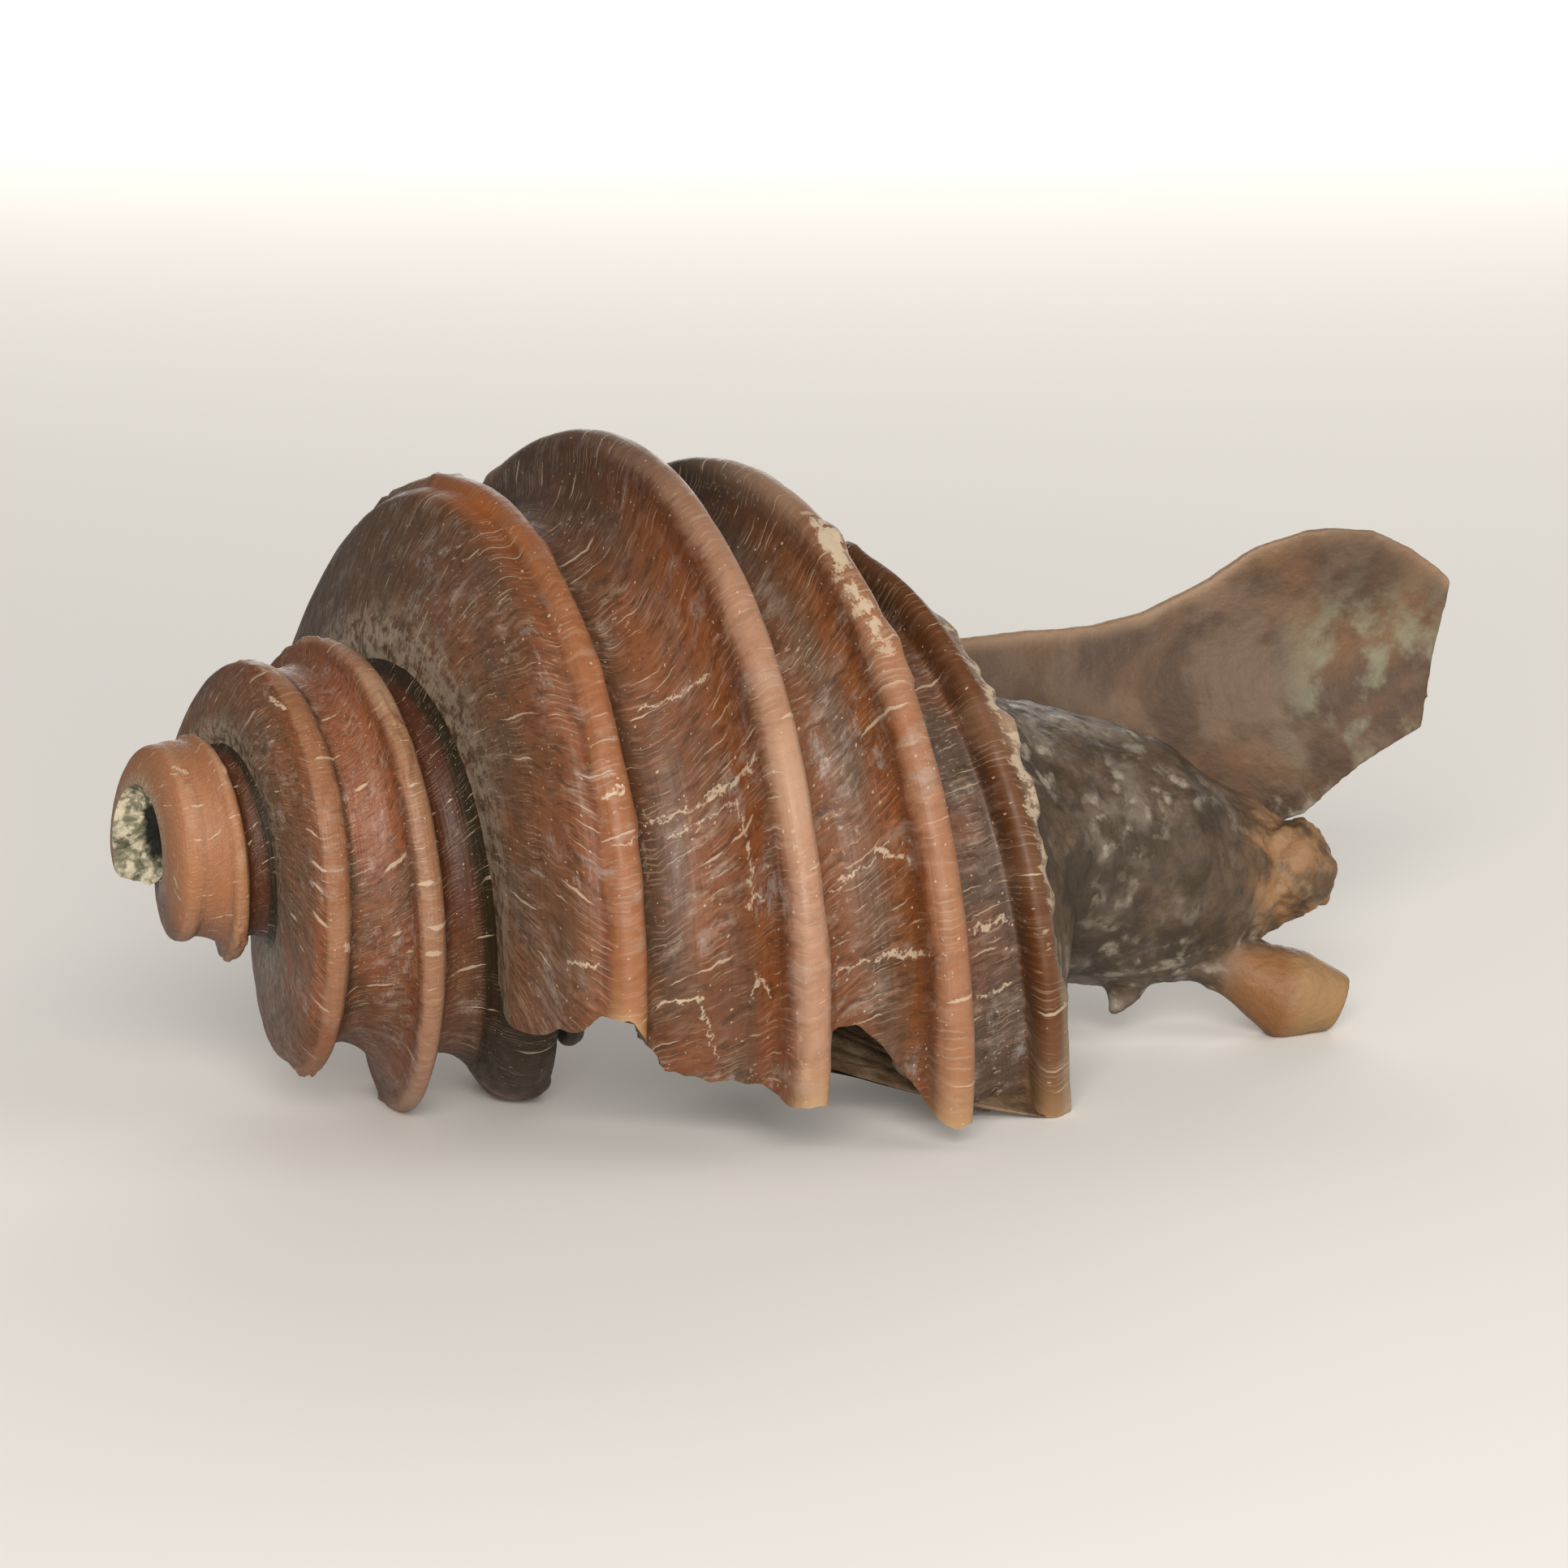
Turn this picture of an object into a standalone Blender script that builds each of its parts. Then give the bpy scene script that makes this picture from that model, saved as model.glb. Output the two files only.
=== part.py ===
# A four-ribbed fossil sea snail with its outer lip broken back, lying on its mouth.
# The shell coils about a straight axis. Every point of its wall keeps to one helix that widens by a
# constant factor in each turn, so the coil is one profile that is scaled as it goes round.
# Run it with: blender --background --python part.py
import math

import bmesh
import bpy
from mathutils import Euler, Vector

MM = 0.001

# Growth of the coil
RADIUS_GROWTH = 2.08  # radius after a turn over radius before it
AXIAL_GROWTH = 1.938  # distance along the axis, from where the coil would begin, the same way
STEPS_PER_TURN = 36
LIP_TURN = 0.3611  # where the outer lip is broken off, in turns; the profile below is at turn 0
STEPS = 101  # from the broken tip to the lip
FIRST_TURN = LIP_TURN - STEPS / STEPS_PER_TURN
LEAN = 0.02  # how far each turn leans towards the tip above the axis, and away from it below
SLOWING = 0.02  # the last third of a turn falls this share short of the growth along the axis
SWELL = 0.014  # the last turn bulges by this share as it passes the top
CROWDING = 0.75  # the youngest turns sit this much closer to the rest, in mm

# The profile at turn 0, as (distance along the axis, radius) in mm. Each rib is a blunt flange with
# a steep lower side, and a smooth hollow rises from there to the next one.
RIB_ONE = (18.35, 16.1)
RIB_TWO = (24.75, 18.5)
RIB_THREE = (30.75, 17.55)
RIB_FOUR = (35.9, 13.8)
RIB_HALF_WIDTH = 0.72
SEAM = (15.4, 7.85)
REMNANT = 2.1  # how much wider rib three is where the missing turn was, in mm at turn 0
REMNANT_END = -0.22  # the turn at which the remnant has faded out
REMNANT_TAIL = [1.1, 0.8, 0.4, 0.1, 0.0]
SHOULDER = [SEAM, (15.45, 9.7), (15.8, 11.8), (16.3, 13.8), (16.95, 15.3)]
HOLLOW_ONE = [(19.4, 14.6), (20.2, 14.05), (21.6, 14.3), (22.8, 15.2), (23.75, 16.9)]
HOLLOW_TWO = [(25.7, 16.0), (26.5, 14.75), (27.8, 14.6), (29.0, 15.3)]
HOLLOW_THREE = [(31.4, 15.0), (32.0, 13.95), (33.1, 13.35), (34.4, 13.0), (35.1, 13.0)]
BASE = [(36.7, 12.3), (36.9, 11.0), (37.5, 9.9)]
NECK_BLEND = [0.2, 0.45, 0.72, 0.92]

# The broken edge of the lip: (distance along the axis at turn 0, degrees short of the seam's end)
LIP_BREAK = [
    (15.4, 0), (16.3, 12), (17.2, 16), (18.3, 18), (19.4, 12), (20.5, 6), (22.0, 5), (23.4, 9),
    (24.7, 11.5), (25.6, 11.5), (26.5, 14), (27.8, 14.5), (28.9, 12), (29.9, 8), (31.5, 7.5), (32.1, 2),
    (33.0, -3), (35.9, -1), (37.5, -3), (50.0, 0),
]
LIP_BAND = 0.14  # the last part of the coil, in turns, that is drawn back to meet that edge

# The hollow inside, at turn 0: first along the outer wall, then back along the pillar
HOLLOW_OUTER = [
    (16.6, 9.7), (17.4, 12.0), (18.6, 13.5), (20.6, 12.9), (23.0, 14.2), (25.0, 14.3), (27.6, 13.6),
    (30.0, 14.2), (32.2, 12.5), (34.8, 11.7), (35.7, 10.2),
]
HOLLOW_INNER = [(35.2, 8.2), (31.5, 6.3), (25.5, 6.3), (20.6, 6.9), (18.3, 7.9), (17.0, 8.8)]
HOLLOW_STEPS = 26  # how far the hollow runs inwards from the lip

# The neck below the coil: rings of (distance along the axis, radius, height of the centre) in mm
NECK = [
    (49.0, 6.5, 0.2), (52.0, 6.4, 0.1), (55.0, 6.0, -0.2), (57.7, 4.9, -0.9), (60.1, 3.5, -0.6),
    (61.4, 2.8, -0.4), (62.3, 1.7, -0.3),
]
NECK_END = 62.5

# The canal's remaining wall: stations of (distance along the axis, top, bottom), heights in mm
CANAL_WALL = [
    (33.0, 9.4, 1.0), (42.0, 9.7, 0.6), (48.7, 10.4, 0.6), (54.6, 11.2, 0.6), (57.1, 11.9, 0.8),
    (60.2, 13.6, 1.1), (62.3, 15.3, 1.5), (65.0, 16.3, 2.4), (68.2, 16.4, 4.6), (70.8, 15.5, 6.1),
    (72.2, 14.8, 6.8), (73.1, 14.2, 12.6),
]
CANAL_DEPTH, CANAL_CENTRE, CANAL_BOW = 6.9, 9.5, 0.055  # how far behind the axis, and its curve
CANAL_THICKNESS = 1.2
CANAL_ROWS = 7

# A broken stump under the neck, and a splinter: rings of (along, near, height, radius) in mm
STUMP = [(56.0, 1.0, -3.8, 1.4), (59.0, 2.0, -5.2, 1.5), (61.6, 2.4, -6.4, 2.3), (64.2, 2.6, -6.7, 1.4)]
SPLINTER = [(54.2, 0.0, -5.0, 1.5), (54.0, 0.0, -6.6, 0.9), (53.4, 0.0, -7.7, 0.3)]

# How the shell lies: turned about its axis, tipped end over end, and set down
ROLL, PITCH = math.radians(-7.9), math.radians(6.73)
FLAT_DEPTH = 0.2  # how much of each point it rests on is worn flat, in mm


def polar(along, out, turn):
    """Turn 0 is upwards, and growth takes the coil round towards -Y, down and back up."""
    angle = 2 * math.pi * turn
    return Vector((along, -out * math.sin(angle), out * math.cos(angle)))


def on_coil(turn, point):
    """A point of the profile, carried round to this turn."""
    slowed = 1 - SLOWING * min(1.0, max(0.0, (turn - 0.05) / 0.3)) ** 2
    swollen = 1 + SWELL * math.exp(-((turn + 0.05) / 0.2) ** 2)
    along = point[0] * AXIAL_GROWTH**turn * slowed
    place = polar(along, point[1] * RADIUS_GROWTH**turn * swollen, turn)
    place.x += CROWDING * math.exp((FIRST_TURN - turn) / 0.75) - LEAN * place.z
    return place


def rib(centre):
    """The blunt edge of a flange."""
    along, out = centre
    w = RIB_HALF_WIDTH
    return [(along - w, out - 0.4), (along - 0.4 * w, out), (along + 0.5 * w, out), (along + w, out - 0.6)]


def profile(remnant=0.0):
    """The profile, and the index in it of the point that the next turn is seated on.

    Past the broken lip, a remnant of the missing turn still clings to rib three and widens it.
    """
    upper = SHOULDER + rib(RIB_ONE) + HOLLOW_ONE + rib(RIB_TWO) + HOLLOW_TWO
    seat = (SEAM[0] * AXIAL_GROWTH, SEAM[1] * RADIUS_GROWTH)
    three = [(x + remnant * (0.3 + 0.9 * k / 3), r) for k, (x, r) in enumerate(rib(RIB_THREE))]
    below = [(x + remnant * w, r + 0.3 * remnant * w) for (x, r), w in zip(HOLLOW_THREE, REMNANT_TAIL)]
    return upper + [seat] + three + below + rib(RIB_FOUR) + BASE, len(upper)


def between(pairs, value):
    """Straight lines through the pairs."""
    for (x0, y0), (x1, y1) in zip(pairs, pairs[1:]):
        if value <= x1:
            return y0 + (y1 - y0) * max(0.0, value - x0) / (x1 - x0)
    return pairs[-1][1]


def drawn_back(turn, point, share=1.0):
    """The turn at which a point of the last band really lies, so that the lip ends at its break."""
    ease = max(0.0, (turn - LIP_TURN + LIP_BAND) / LIP_BAND) ** 2
    return turn - share * ease * between(LIP_BREAK, point[0]) / 360


def ring_points(mesh, along, out, height, turns):
    """One vertex at each turn, round a centre raised by this height."""
    return [mesh.verts.new(polar(along, out, turn) + Vector((0, 0, height))) for turn in turns]


def coil_rows(mesh):
    """The outside of the coil: a row of vertices for each step, from seam to neck."""
    rows, full = [], STEPS - STEPS_PER_TURN
    for i in range(STEPS + 1):
        turn = LIP_TURN - (STEPS - i) / STEPS_PER_TURN
        fade = min(1.0, max(0.0, (REMNANT_END - turn) / 0.15)) if i >= full else 0.0
        points, seat = profile(REMNANT * fade)
        count = len(points) if i >= full else seat + 1
        row = [mesh.verts.new(on_coil(drawn_back(turn, p), p)) for p in points[:count]]
        if i >= STEPS_PER_TURN:
            mesh.verts.remove(row[0])
            row[0] = rows[i - STEPS_PER_TURN][seat]
        if i >= full:
            foot, neck = on_coil(turn, BASE[-1]), polar(NECK[0][0], NECK[0][1], turn)
            row += [mesh.verts.new(foot.lerp(neck, share)) for share in NECK_BLEND]
        rows.append(row)
    return rows, seat


def skin(mesh, first, second, closed=False):
    """Quads between two rows of vertices. They stop where the shorter row does."""
    count = min(len(first), len(second))
    for j in range(count if closed else count - 1):
        k = (j + 1) % count
        corners = (first[j], first[k], second[k], second[j])
        mesh.faces.new(corners)


def fan(mesh, loop, centre):
    """Triangles from a closed loop to one point."""
    hub = mesh.verts.new(centre)
    for a, b in zip(loop, loop[1:] + loop[:1]):
        mesh.faces.new((a, b, hub))


def stitch(mesh, outer, inner):
    """Triangles between two closed loops of different lengths, always along the shorter diagonal."""
    i = j = 0
    while i < len(outer) or j < len(inner):
        a, b = outer[i % len(outer)], inner[j % len(inner)]
        next_a, next_b = outer[(i + 1) % len(outer)], inner[(j + 1) % len(inner)]
        take_outer = (next_a.co - b.co).length <= (next_b.co - a.co).length
        if j == len(inner) or (take_outer and i < len(outer)):
            mesh.faces.new((a, next_a, b))
            i += 1
        else:
            mesh.faces.new((a, next_b, b))
            j += 1


def hollow_rows(mesh):
    """The inside: rings of vertices from the lip inwards."""
    rows = []
    for i in range(HOLLOW_STEPS + 1):
        turn = LIP_TURN - i / STEPS_PER_TURN
        row = [mesh.verts.new(on_coil(drawn_back(turn, p), p)) for p in HOLLOW_OUTER]
        row += [mesh.verts.new(on_coil(turn, p)) for p in HOLLOW_INNER]
        rows.append(row)
    return rows


def coil_mesh():
    """The coil, its hollow and its neck, as one closed surface."""
    mesh = bmesh.new()
    rows, seat = coil_rows(mesh)
    for first, second in zip(rows, rows[1:]):
        skin(mesh, first, second)
    full = STEPS - STEPS_PER_TURN
    turns = [LIP_TURN + k / STEPS_PER_TURN for k in range(STEPS_PER_TURN)]
    rings = [ring_points(mesh, *ring, turns) for ring in NECK]
    skin(mesh, [row[-1] for row in rows[full:]], rings[0] + rings[0][:1])
    for first, second in zip(rings, rings[1:]):
        skin(mesh, first, second, closed=True)
    fan(mesh, rings[-1], (NECK_END, 0, NECK[-1][2]))
    # The mouth's edge runs along the lip to the neck and back over the turn inside it.
    edge = rows[-1] + [rings[0][0]] + rows[full][:seat:-1]
    hollow = hollow_rows(mesh)
    stitch(mesh, edge, hollow[0])
    for first, second in zip(hollow, hollow[1:]):
        skin(mesh, first, second, closed=True)
    inmost = LIP_TURN - (HOLLOW_STEPS + 0.6) / STEPS_PER_TURN
    fan(mesh, hollow[-1], on_coil(inmost, (26.0, 10.5)))
    # The broken tip is a pit as deep as the first turn.
    tip = [rows[k][0] for k in range(STEPS_PER_TURN, -1, -1)] + rows[0][1:seat]
    fan(mesh, tip, (5.4, 0, 0))
    return mesh


def canal_mesh():
    """The wall of the canal: a bowed sheet, hollow side forwards, thinner at its free edge."""
    mesh = bmesh.new()
    loops = []
    for along, top, bottom in CANAL_WALL:
        front, back = [], []
        for row in range(CANAL_ROWS):
            share = row / (CANAL_ROWS - 1)
            height = top + (bottom - top) * share
            depth = CANAL_DEPTH - CANAL_BOW * (height - CANAL_CENTRE) ** 2
            half = CANAL_THICKNESS * (0.3 + 0.2 * min(1.0, 6 * share))
            front.append(mesh.verts.new((along, depth - half, height)))
            back.append(mesh.verts.new((along, depth + half, height)))
        loops.append(front + back[::-1])
    for first, second in zip(loops, loops[1:]):
        skin(mesh, first, second, closed=True)
    mesh.faces.new(loops[0])
    mesh.faces.new(loops[-1])
    return mesh


def lump_mesh(rings, sides=10):
    """A tapered lump through rings of (along, near, height, radius), square across its own line."""
    mesh = bmesh.new()
    centres = [Vector((a, -near, h)) for a, near, h, _ in rings]
    line = (centres[-1] - centres[0]).normalized()
    across = line.cross(Vector((0, 1, 0))).normalized()
    other = line.cross(across)
    loops = []
    for centre, ring in zip(centres, rings):
        angles = [2 * math.pi * k / sides for k in range(sides)]
        spokes = [across * math.cos(angle) + other * math.sin(angle) for angle in angles]
        loops.append([mesh.verts.new(centre + spoke * ring[3]) for spoke in spokes])
    for first, second in zip(loops, loops[1:]):
        skin(mesh, first, second, closed=True)
    mesh.faces.new(loops[0])
    mesh.faces.new(loops[-1])
    return mesh


def add_object(name, mesh):
    """Millimetres become metres here. The shell is also turned to the way it lies."""
    bmesh.ops.recalc_face_normals(mesh, faces=mesh.faces)
    bmesh.ops.transform(mesh, matrix=Euler((ROLL, PITCH, 0)).to_matrix().to_4x4(), verts=mesh.verts)
    bmesh.ops.scale(mesh, vec=(MM, MM, MM), verts=mesh.verts)
    bmesh.ops.triangulate(mesh, faces=mesh.faces)
    data = bpy.data.meshes.new(name)
    mesh.to_mesh(data)
    mesh.free()
    obj = bpy.data.objects.new(name, data)
    bpy.context.scene.collection.objects.link(obj)
    return obj


def join(target, other, operation="UNION"):
    other.hide_render = True
    other.display_type = "WIRE"
    modifier = target.modifiers.new(other.name, "BOOLEAN")
    modifier.operation = operation
    modifier.solver = "EXACT"
    modifier.object = other


def add_floor_cutter(low):
    """A slab below the shell. It takes a little off each point that the shell rests on."""
    mesh = bmesh.new()
    bmesh.ops.create_cube(mesh, size=1)
    bmesh.ops.scale(mesh, vec=(0.2, 0.2, 0.06), verts=mesh.verts)
    bmesh.ops.translate(mesh, vec=(0.03, 0, low - 0.03), verts=mesh.verts)
    data = bpy.data.meshes.new("worn_flat")
    mesh.to_mesh(data)
    mesh.free()
    obj = bpy.data.objects.new("worn_flat", data)
    bpy.context.scene.collection.objects.link(obj)
    return obj


def stone_material():
    material = bpy.data.materials.new("fossil_shell")
    material.use_nodes = True
    shader = material.node_tree.nodes["Principled BSDF"]
    shader.inputs["Base Color"].default_value = (0.3, 0.11, 0.055, 1)
    shader.inputs["Roughness"].default_value = 0.4
    shader.inputs["Metallic"].default_value = 0.0
    return material


def main():
    for obj in list(bpy.data.objects):
        bpy.data.objects.remove(obj)
    shell = add_object("shell", coil_mesh())
    shell.data.materials.append(stone_material())
    added = [
        add_object("canal_wall", canal_mesh()),
        add_object("stump", lump_mesh(STUMP)),
        add_object("splinter", lump_mesh(SPLINTER, 6)),
    ]
    corners = [vert.co for obj in [shell] + added for vert in obj.data.vertices]
    low = [min(corner[axis] for corner in corners) for axis in range(3)]
    high = [max(corner[axis] for corner in corners) for axis in range(3)]
    for obj in added:
        join(shell, obj)
    low[2] += FLAT_DEPTH * MM
    join(shell, add_floor_cutter(low[2]), "DIFFERENCE")
    shell.data.shade_smooth()
    # The origin is in the middle of what the shell lies on.
    origin = Vector(((low[0] + high[0]) / 2, (low[1] + high[1]) / 2, low[2]))
    for obj in bpy.data.objects:
        obj.location = -origin


main()
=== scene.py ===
# %% [markdown]
# # A fossil sea snail
# The shell is about 70 mm long: a coil with four ribs that run round it, its outer lip broken back,
# and one wall of its canal still standing at the far end. The plain solid that carries it is loaded
# first. The script then lays a finely modelled skin over it: the coil, the broken edge of the lip,
# the hollow inside, the pit at the tip, and the crumbly foot with the canal wall.

# %% Load the solid
import math

import bmesh
import bpy
import numpy as np
from mathutils import Euler, Matrix, Vector


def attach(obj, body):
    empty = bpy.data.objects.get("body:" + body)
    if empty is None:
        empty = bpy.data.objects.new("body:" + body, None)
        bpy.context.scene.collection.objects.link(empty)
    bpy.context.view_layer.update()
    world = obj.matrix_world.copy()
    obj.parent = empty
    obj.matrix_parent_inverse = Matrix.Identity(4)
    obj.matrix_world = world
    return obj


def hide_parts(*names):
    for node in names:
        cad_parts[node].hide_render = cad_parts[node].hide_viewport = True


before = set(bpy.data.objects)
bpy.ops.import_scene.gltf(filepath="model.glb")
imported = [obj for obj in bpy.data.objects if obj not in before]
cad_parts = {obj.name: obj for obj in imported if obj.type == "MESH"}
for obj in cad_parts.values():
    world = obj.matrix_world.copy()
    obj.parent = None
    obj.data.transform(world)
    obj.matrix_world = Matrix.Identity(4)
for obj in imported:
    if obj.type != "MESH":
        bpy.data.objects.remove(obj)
for leftover in ("Cube", "Light", "Camera"):
    if leftover in bpy.data.objects:
        bpy.data.objects.remove(bpy.data.objects[leftover])
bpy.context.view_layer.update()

# %% [markdown]
# ## How the shell grows
# A snail adds shell at the lip only, and keeps its shape as it grows. So one outline, carried round
# the axis while it widens by a constant factor in each turn, gives the whole coil. It could be
# sculpted, but then the turns would not fit into each other; the formula keeps every rib on its own
# helix. Turn 0 points upwards, and growth carries it towards the viewer, down and round.

# %% Growth of the coil
RADIUS_GROWTH, AXIAL_GROWTH = 2.08, 1.938  # after a turn over before it
LIP_TURN = 0.3611
SOLID_STEPS, SOLID_STEPS_PER_TURN = 101, 36
FIRST_TURN = LIP_TURN - SOLID_STEPS / SOLID_STEPS_PER_TURN
LEAN, SLOWING, SWELL, CROWDING = 0.02, 0.02, 0.014, 0.75  # small departures, as in the solid


def rise(values, start, reach):
    """0 up to the start and 1 once past it by this reach, which may point downwards."""
    return np.clip((values - start) / reach, 0, 1)


def polar(along, out, turn):
    """Points round the axis, in mm: along it, at a distance, at a turn."""
    angle = 2 * np.pi * turn
    return np.stack(np.broadcast_arrays(along, -out * np.sin(angle), out * np.cos(angle)), -1)


def on_coil(turn, along, out):
    """Points of the outline, carried round to these turns."""
    slowed = 1 - SLOWING * rise(turn, 0.05, 0.3) ** 2
    swollen = 1 + SWELL * np.exp(-(((turn + 0.05) / 0.2) ** 2))
    place = polar(along * AXIAL_GROWTH**turn * slowed, out * RADIUS_GROWTH**turn * swollen, turn)
    place[..., 0] += CROWDING * np.exp((FIRST_TURN - turn) / 0.75) - LEAN * place[..., 2]
    return place


print("turns from the broken tip to the lip:", round(LIP_TURN - FIRST_TURN, 3))

# %% [markdown]
# ## The outline of one turn
# Cut through the wall, the real shell shows a steep shoulder, then four blunt flanges with smooth
# hollows between them. The outline below has the same points as the solid. A curve through them,
# softened a little, gives the rounded edges that the solid only hints at.

# %% Outline points, as (distance along the axis, radius) in mm at turn 0
RIBS = [(18.35, 16.1), (24.75, 18.5), (30.75, 17.55), (35.9, 13.8)]
RIB_HALF_WIDTH = 0.72
SEAM = (15.4, 7.85)
SEAT = (SEAM[0] * AXIAL_GROWTH, SEAM[1] * RADIUS_GROWTH)
REMNANT, REMNANT_END = 2.1, -0.22
REMNANT_TAIL = [1.1, 0.8, 0.4, 0.1, 0.0]
SHOULDER = [SEAM, (15.45, 9.7), (15.8, 11.8), (16.3, 13.8), (16.95, 15.3)]
HOLLOW_ONE = [(19.4, 14.6), (20.2, 14.05), (21.6, 14.3), (22.8, 15.2), (23.75, 16.9)]
HOLLOW_TWO = [(25.7, 16.0), (26.5, 14.75), (27.8, 14.6), (29.0, 15.3)]
HOLLOW_THREE = [(31.4, 15.0), (32.0, 13.95), (33.1, 13.35), (34.4, 13.0), (35.1, 13.0)]
BASE = [(36.7, 12.3), (36.9, 11.0), (37.5, 9.9)]


def rib(along, out, w=RIB_HALF_WIDTH):
    """The blunt edge of a flange."""
    return [(along - w, out - 0.4), (along - 0.6 * w, out), (along + 0.64 * w, out), (along + w, out - 0.5)]


def outline_points(remnant=0.0, w=RIB_HALF_WIDTH, filled=0.0):
    """The outline, from the seam to the base. A remnant of the missing turn widens rib three.

    In older turns the ribs are broader, and the hollow between the first two is partly filled.
    """
    hollow = [(x, r + filled * (1 - abs(k - 1.5) / 2.5)) for k, (x, r) in enumerate(HOLLOW_ONE)]
    upper = SHOULDER + rib(*RIBS[0], w) + hollow + rib(*RIBS[1], w) + HOLLOW_TWO + [SEAT]
    three = [(x + remnant * (0.3 + 0.9 * k / 3), r) for k, (x, r) in enumerate(rib(*RIBS[2]))]
    tail = zip(HOLLOW_THREE, REMNANT_TAIL)
    below = [(x + remnant * share, r + 0.3 * remnant * share) for (x, r), share in tail]
    return np.array(upper + three + below + rib(*RIBS[3]) + BASE)


# %% [markdown]
# A curve that passes through every point, with the slope at each point taken from its neighbours,
# is smooth without needing handles. The spacing along it is even, so the skin gets even quads.

# %% A smooth, evenly spaced curve through points
COLUMN_STEP = 0.18  # mm between the columns of the skin, at turn 0


def curve_through(points, knots, places):
    """Positions on a smooth curve that passes each point at its knot."""
    slopes = np.gradient(points, knots, axis=0)
    k = np.clip(np.searchsorted(knots, places, side="right") - 1, 0, len(knots) - 2)
    step = (knots[k + 1] - knots[k])[:, None]
    u = (places[:, None] - knots[k][:, None]) / step
    start = (1 + 2 * u) * (1 - u) ** 2 * points[k] + u * (1 - u) ** 2 * step * slopes[k]
    return start + u**2 * (3 - 2 * u) * points[k + 1] - u**2 * (1 - u) * step * slopes[k + 1]


def lengths_along(points):
    """How far along the line each point is."""
    steps = np.linalg.norm(np.diff(points, axis=0), axis=-1)
    return np.concatenate([[0], np.cumsum(steps)])


def softened(points, spread):
    """Points averaged with their neighbours, so many columns each way. The ends stay."""
    reach = int(3 * spread)
    weights = np.exp(-0.5 * (np.arange(-reach, reach + 1) / spread) ** 2)
    padded = np.pad(points, ((reach, reach), (0, 0)), mode="reflect", reflect_type="odd")
    columns = [np.convolve(padded[:, axis], weights / weights.sum(), "valid") for axis in (0, 1)]
    return np.stack(columns, -1)


knots = lengths_along(outline_points())
across = np.linspace(0, knots[-1], int(knots[-1] / COLUMN_STEP))
OUTLINE = softened(curve_through(outline_points(), knots, across), 0.75)
WIDENED = softened(curve_through(outline_points(REMNANT), knots, across), 0.75)
OLD = softened(curve_through(outline_points(w=1.4, filled=1.2), knots, across), 5)
BARREL = softened(curve_through(outline_points(w=1.4, filled=3.3), knots, across), 8)
SEAT_COLUMN = int(np.argmin(np.hypot(*(OUTLINE - SEAT).T)))
print("columns across one turn:", len(across), "of which the next turn leaves open", SEAT_COLUMN)

# %% [markdown]
# ## The broken lip
# The last part of the outer wall is gone. Its edge isn't straight: the ribs, which are stronger, stick
# out like short fingers, and the thin wall between them has broken further back. The last band of
# the skin is drawn back to that edge, and a fine jaggedness is added to the solid's line.

# %% Where the lip is broken
LIP_BREAK = [
    (15.4, 0), (16.3, 12), (17.2, 16), (18.3, 18), (19.4, 12), (20.5, 6), (22.0, 5), (23.4, 9),
    (24.7, 11.5), (25.6, 11.5), (26.5, 14), (27.8, 14.5), (28.9, 12), (29.9, 8), (31.5, 7.5), (32.1, 2),
    (33.0, -3), (35.9, -1), (37.5, -3), (50.0, 0),
]
LIP_BAND = 0.14
LIP_JAG = 0.9  # degrees


def jagged(values, seed):
    """A line of uneven teeth between -1 and 1, the same on every run."""
    heights = np.random.RandomState(seed).uniform(-1, 1, 400)
    return np.interp(values * 2.6 % 400, np.arange(400), heights)


def drawn_back(turn, along):
    """The turn at which a point of the last band really lies."""
    ease = np.maximum(0, (turn - LIP_TURN + LIP_BAND) / LIP_BAND) ** 2
    short = np.interp(along, *np.array(LIP_BREAK).T) + LIP_JAG * jagged(along, 3)
    return turn - ease * short / 360


# %% [markdown]
# ## Noise for wear
# Real stone is never even. A value at each corner of a fine cubic lattice, blended between the
# corners, gives soft unevenness that carries on from one piece of the shell to the next, because it
# depends on the place alone.

# %% Even unevenness
LATTICE = np.random.RandomState(11).uniform(-1, 1, 4096)


def noise(places, size, seed=0):
    """Smooth values between -1 and 1 at places, with lumps of about this size."""
    cells = np.floor(places / size).astype(np.int64)
    u = places / size - cells
    u = u * u * (3 - 2 * u)
    total = 0
    for corner in np.ndindex(2, 2, 2):
        x, y, z = np.moveaxis(cells + corner, -1, 0)
        value = LATTICE[(x * 1619 + y * 31337 + z * 6971 + seed * 1013) & 4095]
        total = total + value * np.prod(np.where(corner, u, 1 - u), axis=-1)
    return total


def rough(places, size, layers=3, seed=0):
    """Noise with finer and weaker noise on top."""
    return sum(noise(places, size / 2.1**k, seed + k) / 1.8**k for k in range(layers))


# %% [markdown]
# ## From arrays to meshes
# Each piece is worked out as an array of places in mm, in the frame of the coil's own axis. Here it
# becomes a mesh in metres, turned to the way the shell lies. Numbers that the finish needs, such as
# how near a rib's crest a point is, travel with the points as named attributes.

# %% How the shell lies
ROLL, PITCH = math.radians(-7.9), math.radians(6.73)
SET_DOWN = Vector((-38.896, 3.4615, 15.030))
TURNED = Euler((ROLL, PITCH, 0)).to_matrix()
MM = 0.001
FLOOR_GAP = 0.02 * MM


def laid_down(places):
    """Places in metres in the scene. Nothing reaches the plane of the floor."""
    moved = (places @ np.array(TURNED).T + np.array(SET_DOWN)) * MM
    moved[..., 2] = np.maximum(moved[..., 2], FLOOR_GAP)
    return moved


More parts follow.
